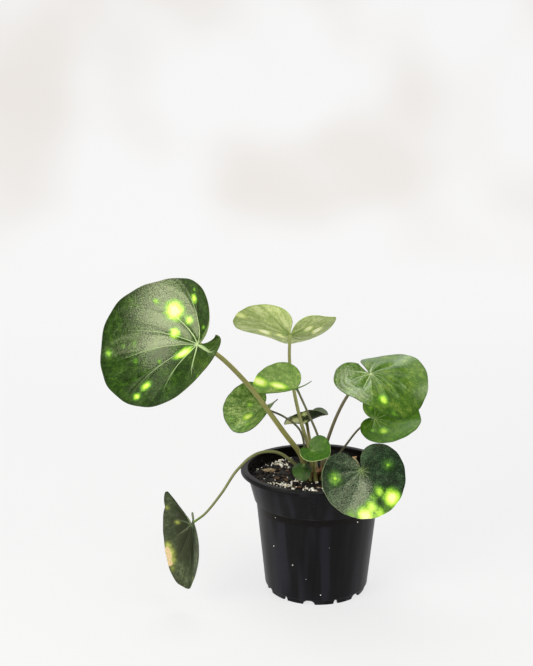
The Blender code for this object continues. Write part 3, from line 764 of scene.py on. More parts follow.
LEAVES = [
    leaf("upper_left", (-120, -60, 277), 162, -21, 47, 101, (83, 97), (0.60, 0.60), 23, (17, 28),
         (-0.25, 0.5), (0.3, 0.66), (0.1, 0.93), 178, (2.8, 2.2),
         [(-16, -5, 143), (-35, -19, 175), (-72, -44, 233), (-101, -57, 266)], (260, 84),
         lobe=(0.50, 0.62, 0.28, 1)),
    leaf("top", (-28, 32, 267), 100, -36, -16, 53, (67, 62), (0.25, 0.31), 1, (13, 25), (-0.36, 0.65),
         (0.45, 1.74), (0.04, 0), 108, (2.1, 1.6),
         [(-9, 9, 150), (-18, 18, 180), (-28.5, 29, 235)], (240, 60), crease=0.14),
    leaf("middle", (-23, -6, 219), -157, -10, -2, 46, (34, 44), (0.48, 0.48), 30, (20, 45), (0, 0.1),
         (0.2, 0.45), (0.04, 0), 15, (1.3, 1.1),
         [(7, 0, 140), (0, -2, 167), (-10, -4, 191), (-17, -5, 207)], (180, 48)),
    leaf("left", (-58, 14, 192), -154, -35, 9, 40, (41, 46), (0.47, 0.47), 12, (22, 29), (0.26, 0.5),
         (0.05, 0.3), (-0.08, -2.4), 140, (1.2, 1.0),
         [(-12, 6, 142), (-18, 8, 169), (-35, 11, 183)], (180, 48)),
    leaf("back_small", (-10, 60, 163), -95, -4, -14, 36, (30, 26), (0.31, 0.31), 11, (23, 16),
         (-0.5, -0.43), (1.0, 0.2), (0.06, -1.1), 78, (2.0, 1.6),
         [(-3, 22, 137), (-7, 42, 151)], (150, 36)),
    leaf("upper_right", (55, 5, 231), -48, -17, -12, 64, (63, 47), (0.36, 0.36), 11, (-7, -2),
         (0.23, -0.2), (-0.55, -0.2), (0.09, 2.6), 48, (1.9, 1.5),
         [(7, 7, 142), (20, 5, 185), (34, 4, 212), (47, 4, 226)], (240, 64)),
    leaf("right", (62, 22, 177), -3, -9, -34, 48, (49, 42), (0.58, 0.58), 20, (24, 6), (0.05, 0.15),
         (0.45, 0.3), (0.07, 2.25), -18, (1.3, 1.0),
         [(13, -3, 133), (27, 3, 150), (46, 17, 169)], (190, 50)),
    leaf("front_right", (39, -88, 158), -57, -59, -15, 47, (47, 52), (0.37, 0.37), 13, (13, 10),
         (0.1, 0.04), (-0.04, -0.1), (0.04, 0.4), -52, (1.9, 1.5),
         [(9, -20, 137), (22, -48, 154), (34, -76, 164)], (220, 60)),
    leaf("small_heart", (-6, -22, 157), -34, -24, -18, 21, (22, 23), (0.47, 0.47), 13, (44, 12),
         (-0.3, 0.06), (0.52, 0.24), (-0.04, 3.8), -88, (1.6, 1.2),
         [(-4, -15, 135), (-6, -19, 149)], (130, 32)),
    leaf("small_round", (-15, -30, 143), -94, -15, 1, 19, (11, 15), (0.58, 0.58), 17, (-26, -13),
         (-0.2, -0.27), (-0.58, 0), (0.05, 3.3), -118, (1.3, 0.8),
         [(-9, -17, 130)], (110, 28)),
    leaf("low_left", (-129, -50, 87), -89, -89, -34, 66.5, (35, 36), (0.76, 0.34), 14, (58, 26),
         (-0.89, -0.42), (0.11, 0.31), (0.06, 0.15), -148, (1.9, 1.1),
         [(-15, -8, 128), (-25, -9, 139), (-42, -11, 151), (-63, -16, 151), (-83, -23, 136),
          (-99, -32, 114), (-116, -44, 96)], (190, 56), lobe=(-0.10, 0.34, 0.70, -1)),
]
print(f"{len(LEAVES)} leaves")


# %% Leaf form
def unit(vector):
    return vector / np.linalg.norm(vector)


def leaf_axes(one):
    """Unit vectors along the midrib, to the left half and out of the upper face."""
    heading, pitch, roll = (math.radians(one[key]) for key in ("heading", "pitch", "roll"))
    tip = np.array([math.cos(pitch) * math.cos(heading), math.cos(pitch) * math.sin(heading),
                    math.sin(pitch)])
    upright = np.array([0.0, 0.0, 1.0])
    level = unit(upright - tip * (upright @ tip))
    across = np.cross(level, tip)
    face = level * math.cos(roll) + across * math.sin(roll)
    return tip, np.cross(face, tip), face


def reach(one, angle):
    """Outline of the blade as a share of its length or half width, at an angle from the midrib."""
    notch = math.radians(one["notch"])
    share = np.clip(np.abs(angle) / (math.pi - notch), 0, 1)
    ripple = 1 + RIPPLE * np.cos(RIPPLES * 2 * angle) * (1 - share ** 6)
    fullness = np.where(angle > 0, *one["fullness"])
    return np.maximum(np.cos(share * math.pi / 2), 1e-9) ** fullness * ripple


def lifted(distance, fold, curl, knee):
    """Path across one half of the blade: it turns by the fold near the midrib, then curls on."""
    near = np.minimum(distance, knee)
    first = fold / knee
    out = np.sin(first * near) / first
    up = (1 - np.cos(first * near)) / first
    rest = np.maximum(distance - knee, 0)
    curl = curl if abs(curl) > TINY else TINY
    out = out + (np.sin(fold + curl * rest) - np.sin(fold)) / curl
    up = up + (np.cos(fold) - np.cos(fold + curl * rest)) / curl
    return out, up


def pressed(one, share, angle):
    """Where a point lies when the leaf is pressed flat: along the midrib and to the side, in mm."""
    size = sum(one["halves"]) / 2
    edge = reach(one, angle)
    _, back, spread, half = one["lobe"]
    lobe = np.clip((angle * half - LOBE_START) / (math.pi - LOBE_START), 0, 1) * size * share
    along = one["length"] * edge * np.cos(angle) * share - back * lobe
    side = np.where(angle > 0, *one["halves"]) * edge * np.sin(angle) * share + half * spread * lobe
    return along, side, lobe, size


def blade_points(one, share, angle, relief=0.0):
    """Middle of the blade's thickness in mm, with relief added along the upper face."""
    along, side, lobe, size = pressed(one, share, angle)
    depth, phase = one["wave"]
    ripple = depth * size * share ** WAVE_RISE * np.cos(WAVES * angle + phase)
    ripple = ripple + one["lobe"][0] * lobe * share ** 0.5 + relief
    knee = one["crease"] * size
    folds = [math.radians(fold) for fold in one["fold"]]
    left_out, left_up = lifted(np.maximum(side, 0), folds[0], one["curl"][0] / size, knee)
    right_out, right_up = lifted(np.maximum(-side, 0), folds[1], one["curl"][1] / size, knee)
    across = left_out - right_out
    height = left_up + right_up + ripple
    bow = np.where(along > 0, one["bow"][0], one["bow"][1]) / size
    bow = np.where(np.abs(bow) < TINY, TINY, bow)
    turn = bow * along
    forward = np.sin(turn) / bow - height * np.sin(turn)
    rise = (1 - np.cos(turn)) / bow + height * np.cos(turn)
    tip, left, face = leaf_axes(one)
    return (np.array(one["joint"]) + forward[..., None] * tip + across[..., None] * left
            + rise[..., None] * face)


for one in LEAVES[:3]:
    tip_point = blade_points(one, np.ones(1), np.zeros(1))[0]
    print(f"{one['name']}: tip at {tip_point.round(1)} mm")

# %% [markdown]
# ## The veins
# The main veins of this leaf spread like the fingers of a hand and then fork again and again.  They
# could be drawn one by one, but there is a shorter way: number the main veins 0, 1, 2 and so on round
# the joint, so that each point of the blade has a vein number between two veins.  Folding that
# number about the nearest vein twice gives both rounds of forks at once.  The number goes into a UV
# map, so the same veins can sink the surface here and colour it in the material later.  The upper
# right leaf was drawn together as it grew, so low wrinkles cross the veins of one of its lobes.

# %% Vein numbers, spots and folds
# The main veins' angles at the joint and at the margin
EVEN_VEINS = ([-138, -102, -67, -33, 0, 33, 67, 102, 138], [-132, -98, -64, -30, 0, 30, 64, 98, 132])
VEINS = {
    "upper_left": ([-150, -112, -78, -42, -21, 7, 40, 80, 120], [-140, -88, -46, -18, 4, 42, 70, 97, 126]),
    "upper_right": ([-140, -105, -70, -35, 5, 40, 70, 100, 135], [-132, -98, -66, -34, -6, 10, 42, 76, 118]),
}
BEYOND_NOTCH = 250
VEIN_WANDER = 0.035
# How far out each round of forks starts, and how far off its branches are at the margin, in vein
# numbers
FORKS = ((0.36, 0.27), (0.66, 0.12))
FIRST_FORK = FORKS[0][0]

# Yellow spots: angle from the midrib, share of the way out, radius in mm, strength and how much
# longer they are outwards than across
SPOTS = {
    "upper_left": [(-68, 0.53, 10.5, 1.15, 1), (-82, 0.35, 5.5, 0.75, 1), (-40, 0.30, 5.8, 0.9, 1),
                   (24, 0.17, 5.0, 1.1, 1.9), (40, 0.72, 5.0, 0.8, 1.3), (42, 0.88, 4.2, 0.8, 1),
                   (-59, 0.73, 4.0, 0.45, 1.3), (-101, 0.70, 4.2, 0.75, 1.4), (-104, 0.85, 2.6, 0.5, 1),
                   (-124, 0.35, 3.0, 0.35, 1), (-5, 0.92, 4.0, 0.5, 1), (-10, 0.78, 2.6, 0.35, 1),
                   (-13, 0.67, 4.2, 0.30, 1), (3, 0.65, 3.6, 0.4, 1), (15, 0.42, 2.8, 0.4, 1),
                   (102, 0.95, 3.0, 0.4, 1)],
    "top": [(97, 0.92, 6, 0.6, 1.5), (47, 0.55, 7, 1.0, 1), (28, 0.27, 6, 0.8, 1), (-120, 0.42, 6, 0.85, 1),
            (-80, 0.55, 7, 1.0, 1), (-15, 0.42, 4, 0.5, 1)],
    "middle": [(-26, 0.87, 6.6, 1.15, 1.5), (-29, 0.42, 4.6, 1.15, 2.3)],
    "left": [(-6, 0.44, 4.4, 0.95, 1.4), (-59, 0.34, 4.0, 0.6, 1), (22, 0.66, 3.0, 0.5, 1),
             (59, 0.52, 2.6, 0.4, 1), (-20, 0.85, 4, 0.3, 1), (95, 0.6, 3, 0.4, 1)],
    "back_small": [(-44, 0.86, 7.5, 0.75, 1), (-21, 0.74, 5.5, 0.80, 1.3), (4, 0.50, 4.5, 0.80, 1),
                   (10, 0.90, 4.5, 0.7, 1), (-70, 0.7, 4.0, 0.5, 1.3), (60, 0.8, 3.0, 0.3, 1)],
    "upper_right": [(-32, 0.67, 5.2, 0.75, 1.3), (-22, 0.90, 4, 0.35, 1)],
    "right": [(-62, 0.49, 6, 0.70, 1), (-95, 0.55, 3.2, 0.45, 1), (115, 0.49, 4.5, 0.5, 1)],
    "front_right": [(-87, 0.68, 8.5, 0.42, 1), (-87, 0.68, 3.0, 0.66, 1), (86, 0.65, 7.5, 0.28, 1),
                    (86, 0.65, 2.4, 0.45, 1), (24, 0.57, 5.6, 0.55, 1.3), (32, 0.85, 8.5, 1.05, 1),
                    (-13, 0.94, 9, 1.10, 1), (-30, 0.97, 9, 0.36, 1), (-3, 0.78, 8, 0.72, 1),
                    (6, 0.62, 6.0, 0.42, 1), (4, 0.96, 9, 0.6, 1), (16, 0.95, 10, 0.28, 1)],
    "low_left": [(-113, 0.92, 4.0, 0.42, 1), (-93, 0.49, 3.4, 0.42, 1.3), (-62, 0.88, 6, 0.55, 1),
                 (-53, 0.87, 8.5, 0.60, 1), (-45, 0.89, 7.5, 0.55, 1), (-36, 0.92, 5, 0.40, 1),
                 (32, 0.95, 3.0, 0.35, 1)],
}
# Patches of dead tissue: angle, share, radius in mm and how much longer they are outwards than across
SCORCH = {
    "low_left": [(-58, 0.92, 4.4, 1), (-51, 0.92, 5.2, 1), (-44, 0.94, 4.4, 1)],
    "back_small": [(-57, 1.0, 4.2, 1)],
}
# Patches of painted sheen, pale grey-green where the leaves show the softboxes' sheen: angle, share,
# radius in mm and how much longer they are outwards
PAINTED_SHEEN = {
    "upper_left": [(-54, 0.60, 31, 1), (-6, 0.42, 22, 1)],
    "upper_right": [(-125, 0.72, 11, 1), (-95, 0.78, 12, 1), (-66, 0.82, 11, 1)],
    "front_right": [(-10, 0.36, 8, 1), (-18, 0.58, 10, 1), (-26, 0.80, 9, 1)],
}
# Factor on the depth of the folds between the veins, how far out they reach, how far out the veins
# show and how strongly, how rough the skin's grain is, how ragged the spots and how streaky the skin
FOLDS = {
    "upper_left": (1.0, 1, 0.90, 0.80, 1.5, 1.3, 0.15),
    "upper_right": (3.4, 0.66, 0.70, 0.45, 1.3, 0.8, 0.45),
    "top": (1.0, 1, 0.9, 0.5, 1, 0.5, 0.6),
    "middle": (0.5, 1, 0.4, 0.2, 2.2, 0.6, 0.2),
    "left": (0.6, 1, 0.4, 0.2, 3.4, 1.0, 0.4),
    "right": (0.8, 0.8, 0.5, 0.3, 1.3, 0.6, 0.3),
    "front_right": (0.3, 1, 0.25, 0.30, 2.4, 1.0, 0),
    "small_heart": (0.6, 1, 0.35, 0.25, 1.2, 1, 0.2),
    "small_round": (0.6, 1, 0.35, 0.25, 1.2, 1, 0.2),
    "back_small": (0.6, 1, 0.8, 0.3, 1.0, 2.2, 0.2),
    "low_left": (1.6, 1, 0.7, 0.3, 0.8, 0.6, 0.4),
}
# Cross wrinkles: angles between which they lie, their depth in mm and their number
WRINKLES = {"upper_right": (-172, -48, 0.75, 8)}
print(f"{sum(len(spots) for spots in SPOTS.values())} spots on {len(SPOTS)} leaves")

# %% Vein relief and patches
# Depth and width in mm of the furrows over the main veins and over the forks
FURROW, FORK_FURROW = (0.36, 1.4), (0.14, 1.2)
SWELL, SWELL_WIDE, WIDEST_SWELL = 0.040, 3.5, 14


def vein_numbers(name, share, angle):
    """The number of the nearest vein at each point, with the fraction of the way to the next."""
    inner, outer = (np.radians([-BEYOND_NOTCH, *angles, BEYOND_NOTCH])
                    for angles in VEINS.get(name, EVEN_VEINS))
    number = np.arange(len(inner)) - len(inner) // 2
    out = np.empty_like(angle)
    for ring in np.unique(share):
        here = share == ring
        out[here] = np.interp(angle[here], inner + (outer - inner) * ring, number)
    return out + VEIN_WANDER * np.sin(7 * share + 2.3 * angle) * share


def vein_distance(number, share, span):
    """Distance in mm to the nearest main vein and to the nearest fork."""
    off = np.abs(number - np.rint(number))
    apart = [off]
    for start, spread in FORKS:
        apart.append(np.abs(apart[-1] - spread * np.clip((share - start) / (1 - start), 0, 1)))
    return off * span, np.minimum(*apart[1:]) * span


def patch(one, along, side, angle, share, radius, stretch):
    """A soft round patch on the pressed leaf; it may be longer outwards from the joint than across."""
    u, v, _, _ = pressed(one, np.array([share]), np.radians([float(angle)]))
    out = unit(np.array([u[0], v[0]]))
    off = np.stack([along - u[0], side - v[0]], -1)
    lengthways, crossways = off @ out / stretch, off @ np.array([-out[1], out[0]])
    return np.exp(-(lengthways ** 2 + crossways ** 2) / radius ** 2)


def spot_strength(one, along, side):
    """How yellow each point is."""
    total = np.zeros_like(along)
    for angle, share, radius, strength, stretch in SPOTS.get(one["name"], []):
        total = np.maximum(total, strength * patch(one, along, side, angle, share, radius, stretch))
    return total


def bell(distance, width):
    return np.exp(-(distance / width) ** 2)


def vein_relief(share, main, forks, span, depth, end):
    """Furrows over the veins and soft swelling between them, in mm."""
    fade = np.clip(share / 0.06, 0, 1) * np.clip(1 - (share / end) ** 6, 0, 1)
    furrow = FURROW[0] * (1 - 0.7 * share) * bell(main, FURROW[1])
    furrow = furrow + FORK_FURROW[0] * bell(forks, FORK_FURROW[1]) * np.clip((share - FIRST_FORK) * 4, 0, 1)
    swell = SWELL * np.minimum(span, WIDEST_SWELL) * (1 - bell(np.minimum(main, forks), SWELL_WIDE))
    return (swell - furrow) * fade * depth


def wrinkles(name, share, angle):
    """Low ridges across the veins, where a lobe is drawn together, in mm."""
    if name not in WRINKLES:
        return 0.0
    start, end, depth, count = WRINKLES[name]
    across = np.clip((np.degrees(angle) - start) / (end - start), 0, 1)
    wave = np.cos(2 * math.pi * count * share + 2.4 * np.sin(3 * angle + 1) + 1.5 * np.sin(8 * angle))
    patchy = 0.6 + 0.4 * np.sin(10 * angle + 7 * share)
    return depth * wave * patchy * np.sin(math.pi * across) ** 0.7 * share


# %% [markdown]
# ## Make the blades
# A grid is bent to the leaf's form, its inner row shrinks to the joint and is merged, and Solidify
# gives it the CAD blade's thickness, with a second material for the underside and a third for the
# cut edge.  On the underside the main veins stand proud as round ribs, so those points are pushed
# out afterwards.

# %% Build one blade
SPOKE_END, RING_CROWDING = 0.985, 0.9
VEIN_GAP = math.radians(33)
FULL_FOLD_SIZE, FULL_RIB_SIZE = 45, 60
RIB, RIB_WIDE = 0.7, 0.9


def make_blade(one, skins):
    name = one["name"]
    piece, across, outward = grid_piece("leaf_" + name, *one["fine"])
    for skin in skins:
        piece.data.materials.append(skin)
    angle = (0.5 - across) * 2 * (math.pi - math.radians(one["notch"])) * SPOKE_END
    share = outward ** RING_CROWDING
    along, side, _, size = pressed(one, share, angle)
    number = vein_numbers(name, share, angle)
    span = np.hypot(along, side) * VEIN_GAP + 0.01
    main, forks = vein_distance(number, share, span)
    depth, fold_end = FOLDS[name][:2]
    relief = vein_relief(share, main, forks, span, depth * min(1, size / FULL_FOLD_SIZE), fold_end)
    set_points(piece, blade_points(one, share, angle, relief + wrinkles(name, share, angle)) * MM)
    fields = {"spot": spot_strength(one, along, side), "span": span,
              "rib": RIB * bell(main, RIB_WIDE) * (1 - share) ** 0.7 * min(1, size / FULL_RIB_SIZE)}
    for field, table in (("scorch", SCORCH), ("painted_sheen", PAINTED_SHEEN)):
        if name in table:
            fields[field] = np.maximum.reduce([patch(one, along, side, *values) for values in table[name]])
    for field, values in fields.items():
        point_attribute(piece, field, values)
    point_uv(piece, "growth", number, share)
    point_uv(piece, "pressed", along * MM, side * MM)
    merge_doubles(piece)
    use_modifier(piece, "SOLIDIFY", thickness=BLADE_THICKNESS * MM, offset=0, material_offset=1,
                 material_offset_rim=2)
    return piece


def raise_ribs(piece):
    """Push the underside's main veins out of the surface."""
    count = len(piece.data.vertices)
    under = np.arange(count) >= count // 2
    rib = np.empty(count, np.float32)
    piece.data.attributes["rib"].data.foreach_get("value", rib)
    normal = np.empty(count * 3, np.float32)
    piece.data.vertices.foreach_get("normal", normal)
    set_points(piece, points_of(piece) + normal.reshape(-1, 3) * (rib * under)[:, None] * MM)
    piece.data.attributes.remove(piece.data.attributes["rib"])


# %% [markdown]
# ## The skin of a leaf
# The upper skin is waxy: it mirrors the softboxes as a greyish sheen that breaks up over fine relief.
# The relief is noise of 1 and 4.5 mm and thin grooves along two nets of small veins, with cells 6 mm
# and 2.6 mm wide, which are Voronoi patterns on the pressed leaf.  The larger veins come from the vein
# numbers in the UV map, folded for the forks as they were for the shape.

# %% The veins and nets of the skin
VEIN_WIDTH, VEIN_TIP_WIDTH, FORK_WIDTH = 0.95, 0.40, 0.45
WIDE_NET, FINE_NET, NET_WANDER, NET_BEND = 6.0, 2.6, 6.0, 3.4
WHOLE_NUMBERS = 100


def vein_mask(add, vein_end):
    """How much of a vein a point is, from 0 to 1, and how far out it lies."""
    number, share, _ = add("SeparateXYZ", add("UVMap", uv_map="growth")).node.outputs
    span = add("Attribute", attribute_name="span", out="Fac")
    fraction = add("Math", add("Math", number, WHOLE_NUMBERS + 0.5), operation="FRACT")
    apart = [add("Math", add("Math", fraction, 0.5, **LESS), operation="ABSOLUTE")]
    for start, spread in FORKS:
        branch = add("MapRange", share, start, 1, 0, spread)
        apart.append(add("Math", add("Math", apart[-1], branch, **LESS), operation="ABSOLUTE"))
    width = add("MapRange", share, 0, 1, VEIN_WIDTH, VEIN_TIP_WIDTH)
    main = add("Math", add("Math", apart[0], span, **TIMES), width, **OVER)
    nearest = add("Math", *apart[1:], operation="MINIMUM")
    fork = add("Math", add("Math", nearest, span, **TIMES), add("Math", width, FORK_WIDTH, **TIMES), **OVER)
    fork = add("Math", add("MapRange", fork, 0.25, 1.0, 0.45, 0, **SOFT),
               add("MapRange", share, FIRST_FORK - 0.05, FIRST_FORK + 0.1, **SOFT), **TIMES)
    both = add("Math", add("MapRange", main, 0.25, 1.0, 1, 0, **SOFT), fork, operation="MAXIMUM")
    fade = add("MapRange", share, 0.3 * vein_end, vein_end, 1.0, 0.0, **SOFT)
    return add("Math", both, fade, **TIMES), share


def cell_nets(add, place):
    """Distance to the lines of the wide and the fine net, and a chance value for each fine cell."""
    bend = add("TexNoise", place, scale=per(NET_WANDER), out="Color")
    bent = add("VectorMath", bend, (NET_BEND * MM, NET_BEND * MM, 0), place, operation="MULTIPLY_ADD")
    wide, fine = (add("TexVoronoi", bent, scale=per(width), feature="DISTANCE_TO_EDGE",
                      voronoi_dimensions="2D") for width in (WIDE_NET, FINE_NET))
    cell = add("TexVoronoi", bent, scale=per(FINE_NET), voronoi_dimensions="2D", out="Color")
    return wide, fine, add("Math", add("SeparateXYZ", cell), 0.5, **LESS)


# %% [markdown]
# The yellow spots have no pigment at their centre and fade through lime into the green with a torn
# edge, and a little painted glow, emission in the spots, stands in for the light that comes through.
# A painted sheen, pale grey-green from cell to cell, stands in for the leaves' sheen in patches.  Two
# old leaves carry tan patches of dead tissue, and the faded low leaf is painted darker towards its
# joint, as painted shade in its fold.  The underside is pale and matte, and its main veins are round ribs.

# %% The colours of the skin
STREAKS = 9
WAX_TINT = "#F4FFCF"
# Colour of the painted sheen, and the most of the green that it covers
PAINTED_SHEEN_COLOUR, PAINTED_SHEEN_COVER = "#A3AA8E", 0.37
FRESH_GLOW = [(0.10, "#3F7A1E"), (0.38, "#74AE2C"), (0.62, "#B2DB43"), (0.80, "#D8EE64"), (1.0, "#F6FCA4")]
FADED_GLOW = [(0.10, "#4A5528"), (0.38, "#8B943E"), (0.62, "#B9BE68"), (1.0, "#E6E2A8")]
UNDER_GLOW = [(0.0, "#B9D070"), (0.5, "#E9F29C"), (0.9, "#FFFFD2")]
DEAD_TISSUE = [(0.35, "#B79A6C"), (0.65, "#E3CBA0")]


def mottled_green(add, greens, cloud, blotch, fleck, chance):
    """Dark, middle and light green in clouds, blotches and flecks, with a chance tone for each cell."""
    tone = add("Math", add("Math", cloud, 0.35, **TIMES),
               add("Math", add("Math", blotch, 0.30, **TIMES), add("Math", fleck, 0.35, **TIMES)))
    tone = add("Math", tone, add("Math", chance, 0.06, **TIMES))
    return add("ValToRGB", tone, stops=[*zip((0.40, 0.50, 0.61), greens)])


def streaks_margin_and_shade(add, colour, deep, share, streaky, heart):
    """The green with dark streaks and a dark margin, and painted shade that darkens it towards the joint."""
    if streaky:
        rays = add("Mapping", add("UVMap", uv_map="growth"), scale=(STREAKS, 1.6, 1))
        rays = add("MapRange", add("TexNoise", rays, scale=1), 0.46, 0.60, 0, streaky, **SOFT)
        colour = add("Mix", rays, colour, deep, **RGBA)
    colour = add("Mix", add("MapRange", share, 0.93, 1.0, 0, 0.6, **SOFT), colour, deep, **RGBA)
    # Painted shade: darker towards the joint, where the old leaf's fold lies in shade
    if heart:
        colour = add("Mix", add("MapRange", share, 0.35, 0.90, heart, 0, **SOFT), colour, deep, **RGBA)
    return colour


def painted_sheen_mask(add, fleck, fine_net):
    """Where the painted sheen shows: inside its patch, more on flecks and inside the fine cells."""
    field = add("Attribute", attribute_name="painted_sheen", out="Fac")
    painted_gleam = add("Math", field, add("Math", add("Math", fleck, 0.5, **LESS), 2.4, **TIMES))
    painted_gleam = add("Math", painted_gleam, add("MapRange", fine_net, 0.02, 0.26, -0.28, 0.22, **SOFT))
    return add("Math", add("MapRange", painted_gleam, 0.25, 0.85, 0, PAINTED_SHEEN_COVER, **SOFT),
               add("MapRange", field, 0.05, 0.45, **SOFT), **TIMES)


def torn_spots(add, blotch, fleck, chance, ragged):
    """How yellow a point is once the noise has torn the spots' edges, and the tearing itself."""
    spot = add("Attribute", attribute_name="spot", out="Fac")
    torn = add("Math", add("Math", add("Math", fleck, blotch), 1.0, **LESS), 0.26 * ragged, **TIMES)
    torn = add("Math", torn, add("Math", chance, 0.12 * ragged, **TIMES))
    near_spot = add("MapRange", spot, 0.02, 0.4, **SOFT)
    return add("Math", spot, add("Math", torn, near_spot, **TIMES)), torn


# %% One side of a leaf's skin
def leaf_face(name, deep, mid, light, vein, rough, under=False, vein_end=0.9, vein_show=0.8, relief=1.0,
              ragged=1.0, streaky=0.0, heart=0.0, scorched=False, faded=False, painted_sheen=False):
    """One side of a leaf's skin, from its dark, middle and light green and its vein colour."""
    material, add, surface = new_material(name)
    place = add("UVMap", uv_map="pressed")
    veins, share = vein_mask(add, vein_end)
    wide_net, fine_net, chance = cell_nets(add, place)
    wide_line = add("MapRange", wide_net, 0.0, 0.12, 1, 0, **SOFT)
    fine_line = add("MapRange", fine_net, 0.0, 0.22, 1, 0, **SOFT)
    cloud = add("TexNoise", place, scale=per(16))
    blotch = add("TexNoise", place, scale=per(4.5), roughness=0.6)
    fleck = add("TexNoise", place, scale=per(1.1), detail=3, roughness=0.65)
    colour = mottled_green(add, (deep, mid, light), cloud, blotch, fleck, chance)
    # On the upper side the nets' lines are painted darker, as painted shade in their grooves; on the
    # underside they are paler veinlets
    for line, cover in ((fine_line, 0.22), (wide_line, 0.35)):
        colour = add("Mix", add("Math", line, cover, **TIMES), colour, light if under else deep, **RGBA)
    colour = streaks_margin_and_shade(add, colour, deep, share, streaky, heart)
    # Painted sheen: pale grey-green patches that stand in for the softboxes' sheen
    if painted_sheen:
        colour = add("Mix", painted_sheen_mask(add, fleck, fine_net), colour, PAINTED_SHEEN_COLOUR, **RGBA)
    spot, torn = torn_spots(add, blotch, fleck, chance, ragged)
    glow = add("ValToRGB", spot, stops=UNDER_GLOW if under else FADED_GLOW if faded else FRESH_GLOW)
    start, cover = (0.10, 0.95) if under else (0.03, 1)
    colour = add("Mix", add("MapRange", spot, start, 0.60, 0, cover, **SOFT), colour, glow, **RGBA)
    colour = add("Mix", add("Math", veins, vein_show, **TIMES), colour, vein, **RGBA)
    if scorched:
        dead = add("Attribute", attribute_name="scorch", out="Fac")
        dead = add("MapRange", add("Math", dead, add("Math", torn, 0.5, **TIMES)), 0.35, 0.70, **SOFT)
        colour = add("Mix", dead, colour, add("ValToRGB", fleck, stops=DEAD_TISSUE), **RGBA)
    # Each layer of relief lies on the one before: the nets sink, and so do the upper side's veins
    normal = add("Bump", height=fine_line, distance=-0.02 * MM)
    for height, depth in ((wide_line, -0.05), (blotch, 0.035 * relief), (fleck, 0.065 * relief),
                          (veins, 0.25 if under else -0.30)):
        normal = add("Bump", height=height, distance=depth * MM, normal=normal)
    # Painted glow: the spots emit a little of their colour, more on the underside, for light that comes
    # through the leaf
    painted_glow_strength = add("Math", add("MapRange", spot, 0.3, 0.8, **SOFT), 0.22 if under else 0.05, **TIMES)
    surface(specular_ior_level=0.25 if under else 0.5, specular_tint=WAX_TINT, base_color=colour,
            roughness=add("MapRange", fleck, 0.3, 0.7, rough - 0.04, rough + 0.08), normal=normal,
            emission_color=glow, emission_strength=painted_glow_strength)
    return material


# %% Dress the blades
# Dark, middle and light green of each leaf's upper side, its veins and its roughness; then the same
# for its underside, and the green of its cut edge
PALE_UNDER = ("#7C9A4E", "#8FAE5E", "#A4BF70", "#B9CF8A", 0.60)
SKINS = {
    "upper_left": (("#102504", "#223E0B", "#40611A", "#C2DB9C", 0.22),
                   ("#6F8A48", "#86A35A", "#9DB670", "#B4C88C", 0.60), "#3A4A1E"),
    # The top leaf shows its underside, whose vein colour is painted darker, as painted shade beside the ribs
    "top": (("#3C6A20", "#4E8128", "#639438", "#B4CE8C", 0.42),
            ("#8EA656", "#C8D688", "#E2EAB0", "#688A40", 0.58), "#A8BC74"),
    "middle": (("#446E1C", "#75983D", "#A8BC6A", "#A8C884", 0.32), PALE_UNDER, "#46642A"),
    "left": (("#2C5210", "#80A748", "#C8DA88", "#9DBF78", 0.34),
             ("#6E8A48", "#86A35A", "#9DB670", "#B4C88C", 0.60), "#2F4A1E"),
    "back_small": (("#26361E", "#384A2A", "#56663E", "#B5CC7A", 0.46),
                   ("#323E28", "#465238", "#5F6A4A", "#8C9668", 0.60), "#7F8560"),
    "upper_right": (("#264A08", "#4A701A", "#7A9238", "#CFE0AC", 0.28), PALE_UNDER, "#44582A"),
    "right": (("#315A0A", "#4C7817", "#70962C", "#B4CC84", 0.46), PALE_UNDER, "#56742F"),
    "front_right": (("#101D11", "#203421", "#40593B", "#86A04C", 0.24),
                    ("#6B8050", "#7F9460", "#94A874", "#A9BA86", 0.60), "#82966A"),
    "small_heart": (("#1F4605", "#335F0D", "#4F7B1F", "#A8C87A", 0.48), PALE_UNDER, "#A9BF7C"),
    "small_round": (("#102A03", "#1D400A", "#305616", "#A0C070", 0.48), PALE_UNDER, "#A9BF7C"),
    "low_left": (("#131B08", "#38442A", "#626C4E", "#7E906A", 0.34),
                 ("#6B7658", "#7F8A6A", "#959F80", "#A9B292", 0.60), "#5D6A4E"),
}
FADED, DARK = ("low_left",), ("front_right", "low_left")
for one in LEAVES:
    name = one["name"]
    upper, under, edge = SKINS[name]
    _, _, vein_end, vein_show, relief, ragged, streaky = FOLDS[name]
    # The faded leaf also gets painted shade towards its joint
    look = dict(ragged=ragged, streaky=streaky, heart=float(name in FADED), scorched=name in SCORCH)
    skins = [leaf_face("waxy_upper_skin_" + name, *upper, vein_end=vein_end, vein_show=vein_show,
                       relief=relief, faded=name in FADED, painted_sheen=name in PAINTED_SHEEN, **look),
             leaf_face("matte_under_skin_" + name, *under, under=True, vein_show=0.6, relief=0.5, **look),
             leaf_face("leaf_edge_" + name, edge, edge, edge, edge, 0.55, under=True, relief=0.3)]
    blade = make_blade(one, skins)
    raise_ribs(blade)
    smooth(blade, 50)
    dress(blade, "leaf_dark" if name in DARK else "leaf_green", nodes=["blade_" + name])

# %% [markdown]
# ## The stalks
# Each stalk is a solid, slightly ribbed rod that tapers from the crown to its leaf and thickens just
# under the blade.  It follows the CAD stalk's route, a smooth curve through a few points.  A curve
# object with a bevel would do too, but a wrapped grid also gives a UV map that runs up the stalk, for
# ribs and for the colour that changes from brown at the foot to olive above.

# %% Stalk routes
STALK_AROUND = 18
STALK_SPACING = 2.5


def stalk_foot(one):
    angle = math.radians(one["stand"])
    cx, cy = CROWN_CENTRE
    return cx + STALK_RING * math.cos(angle), cy + STALK_RING * math.sin(angle)


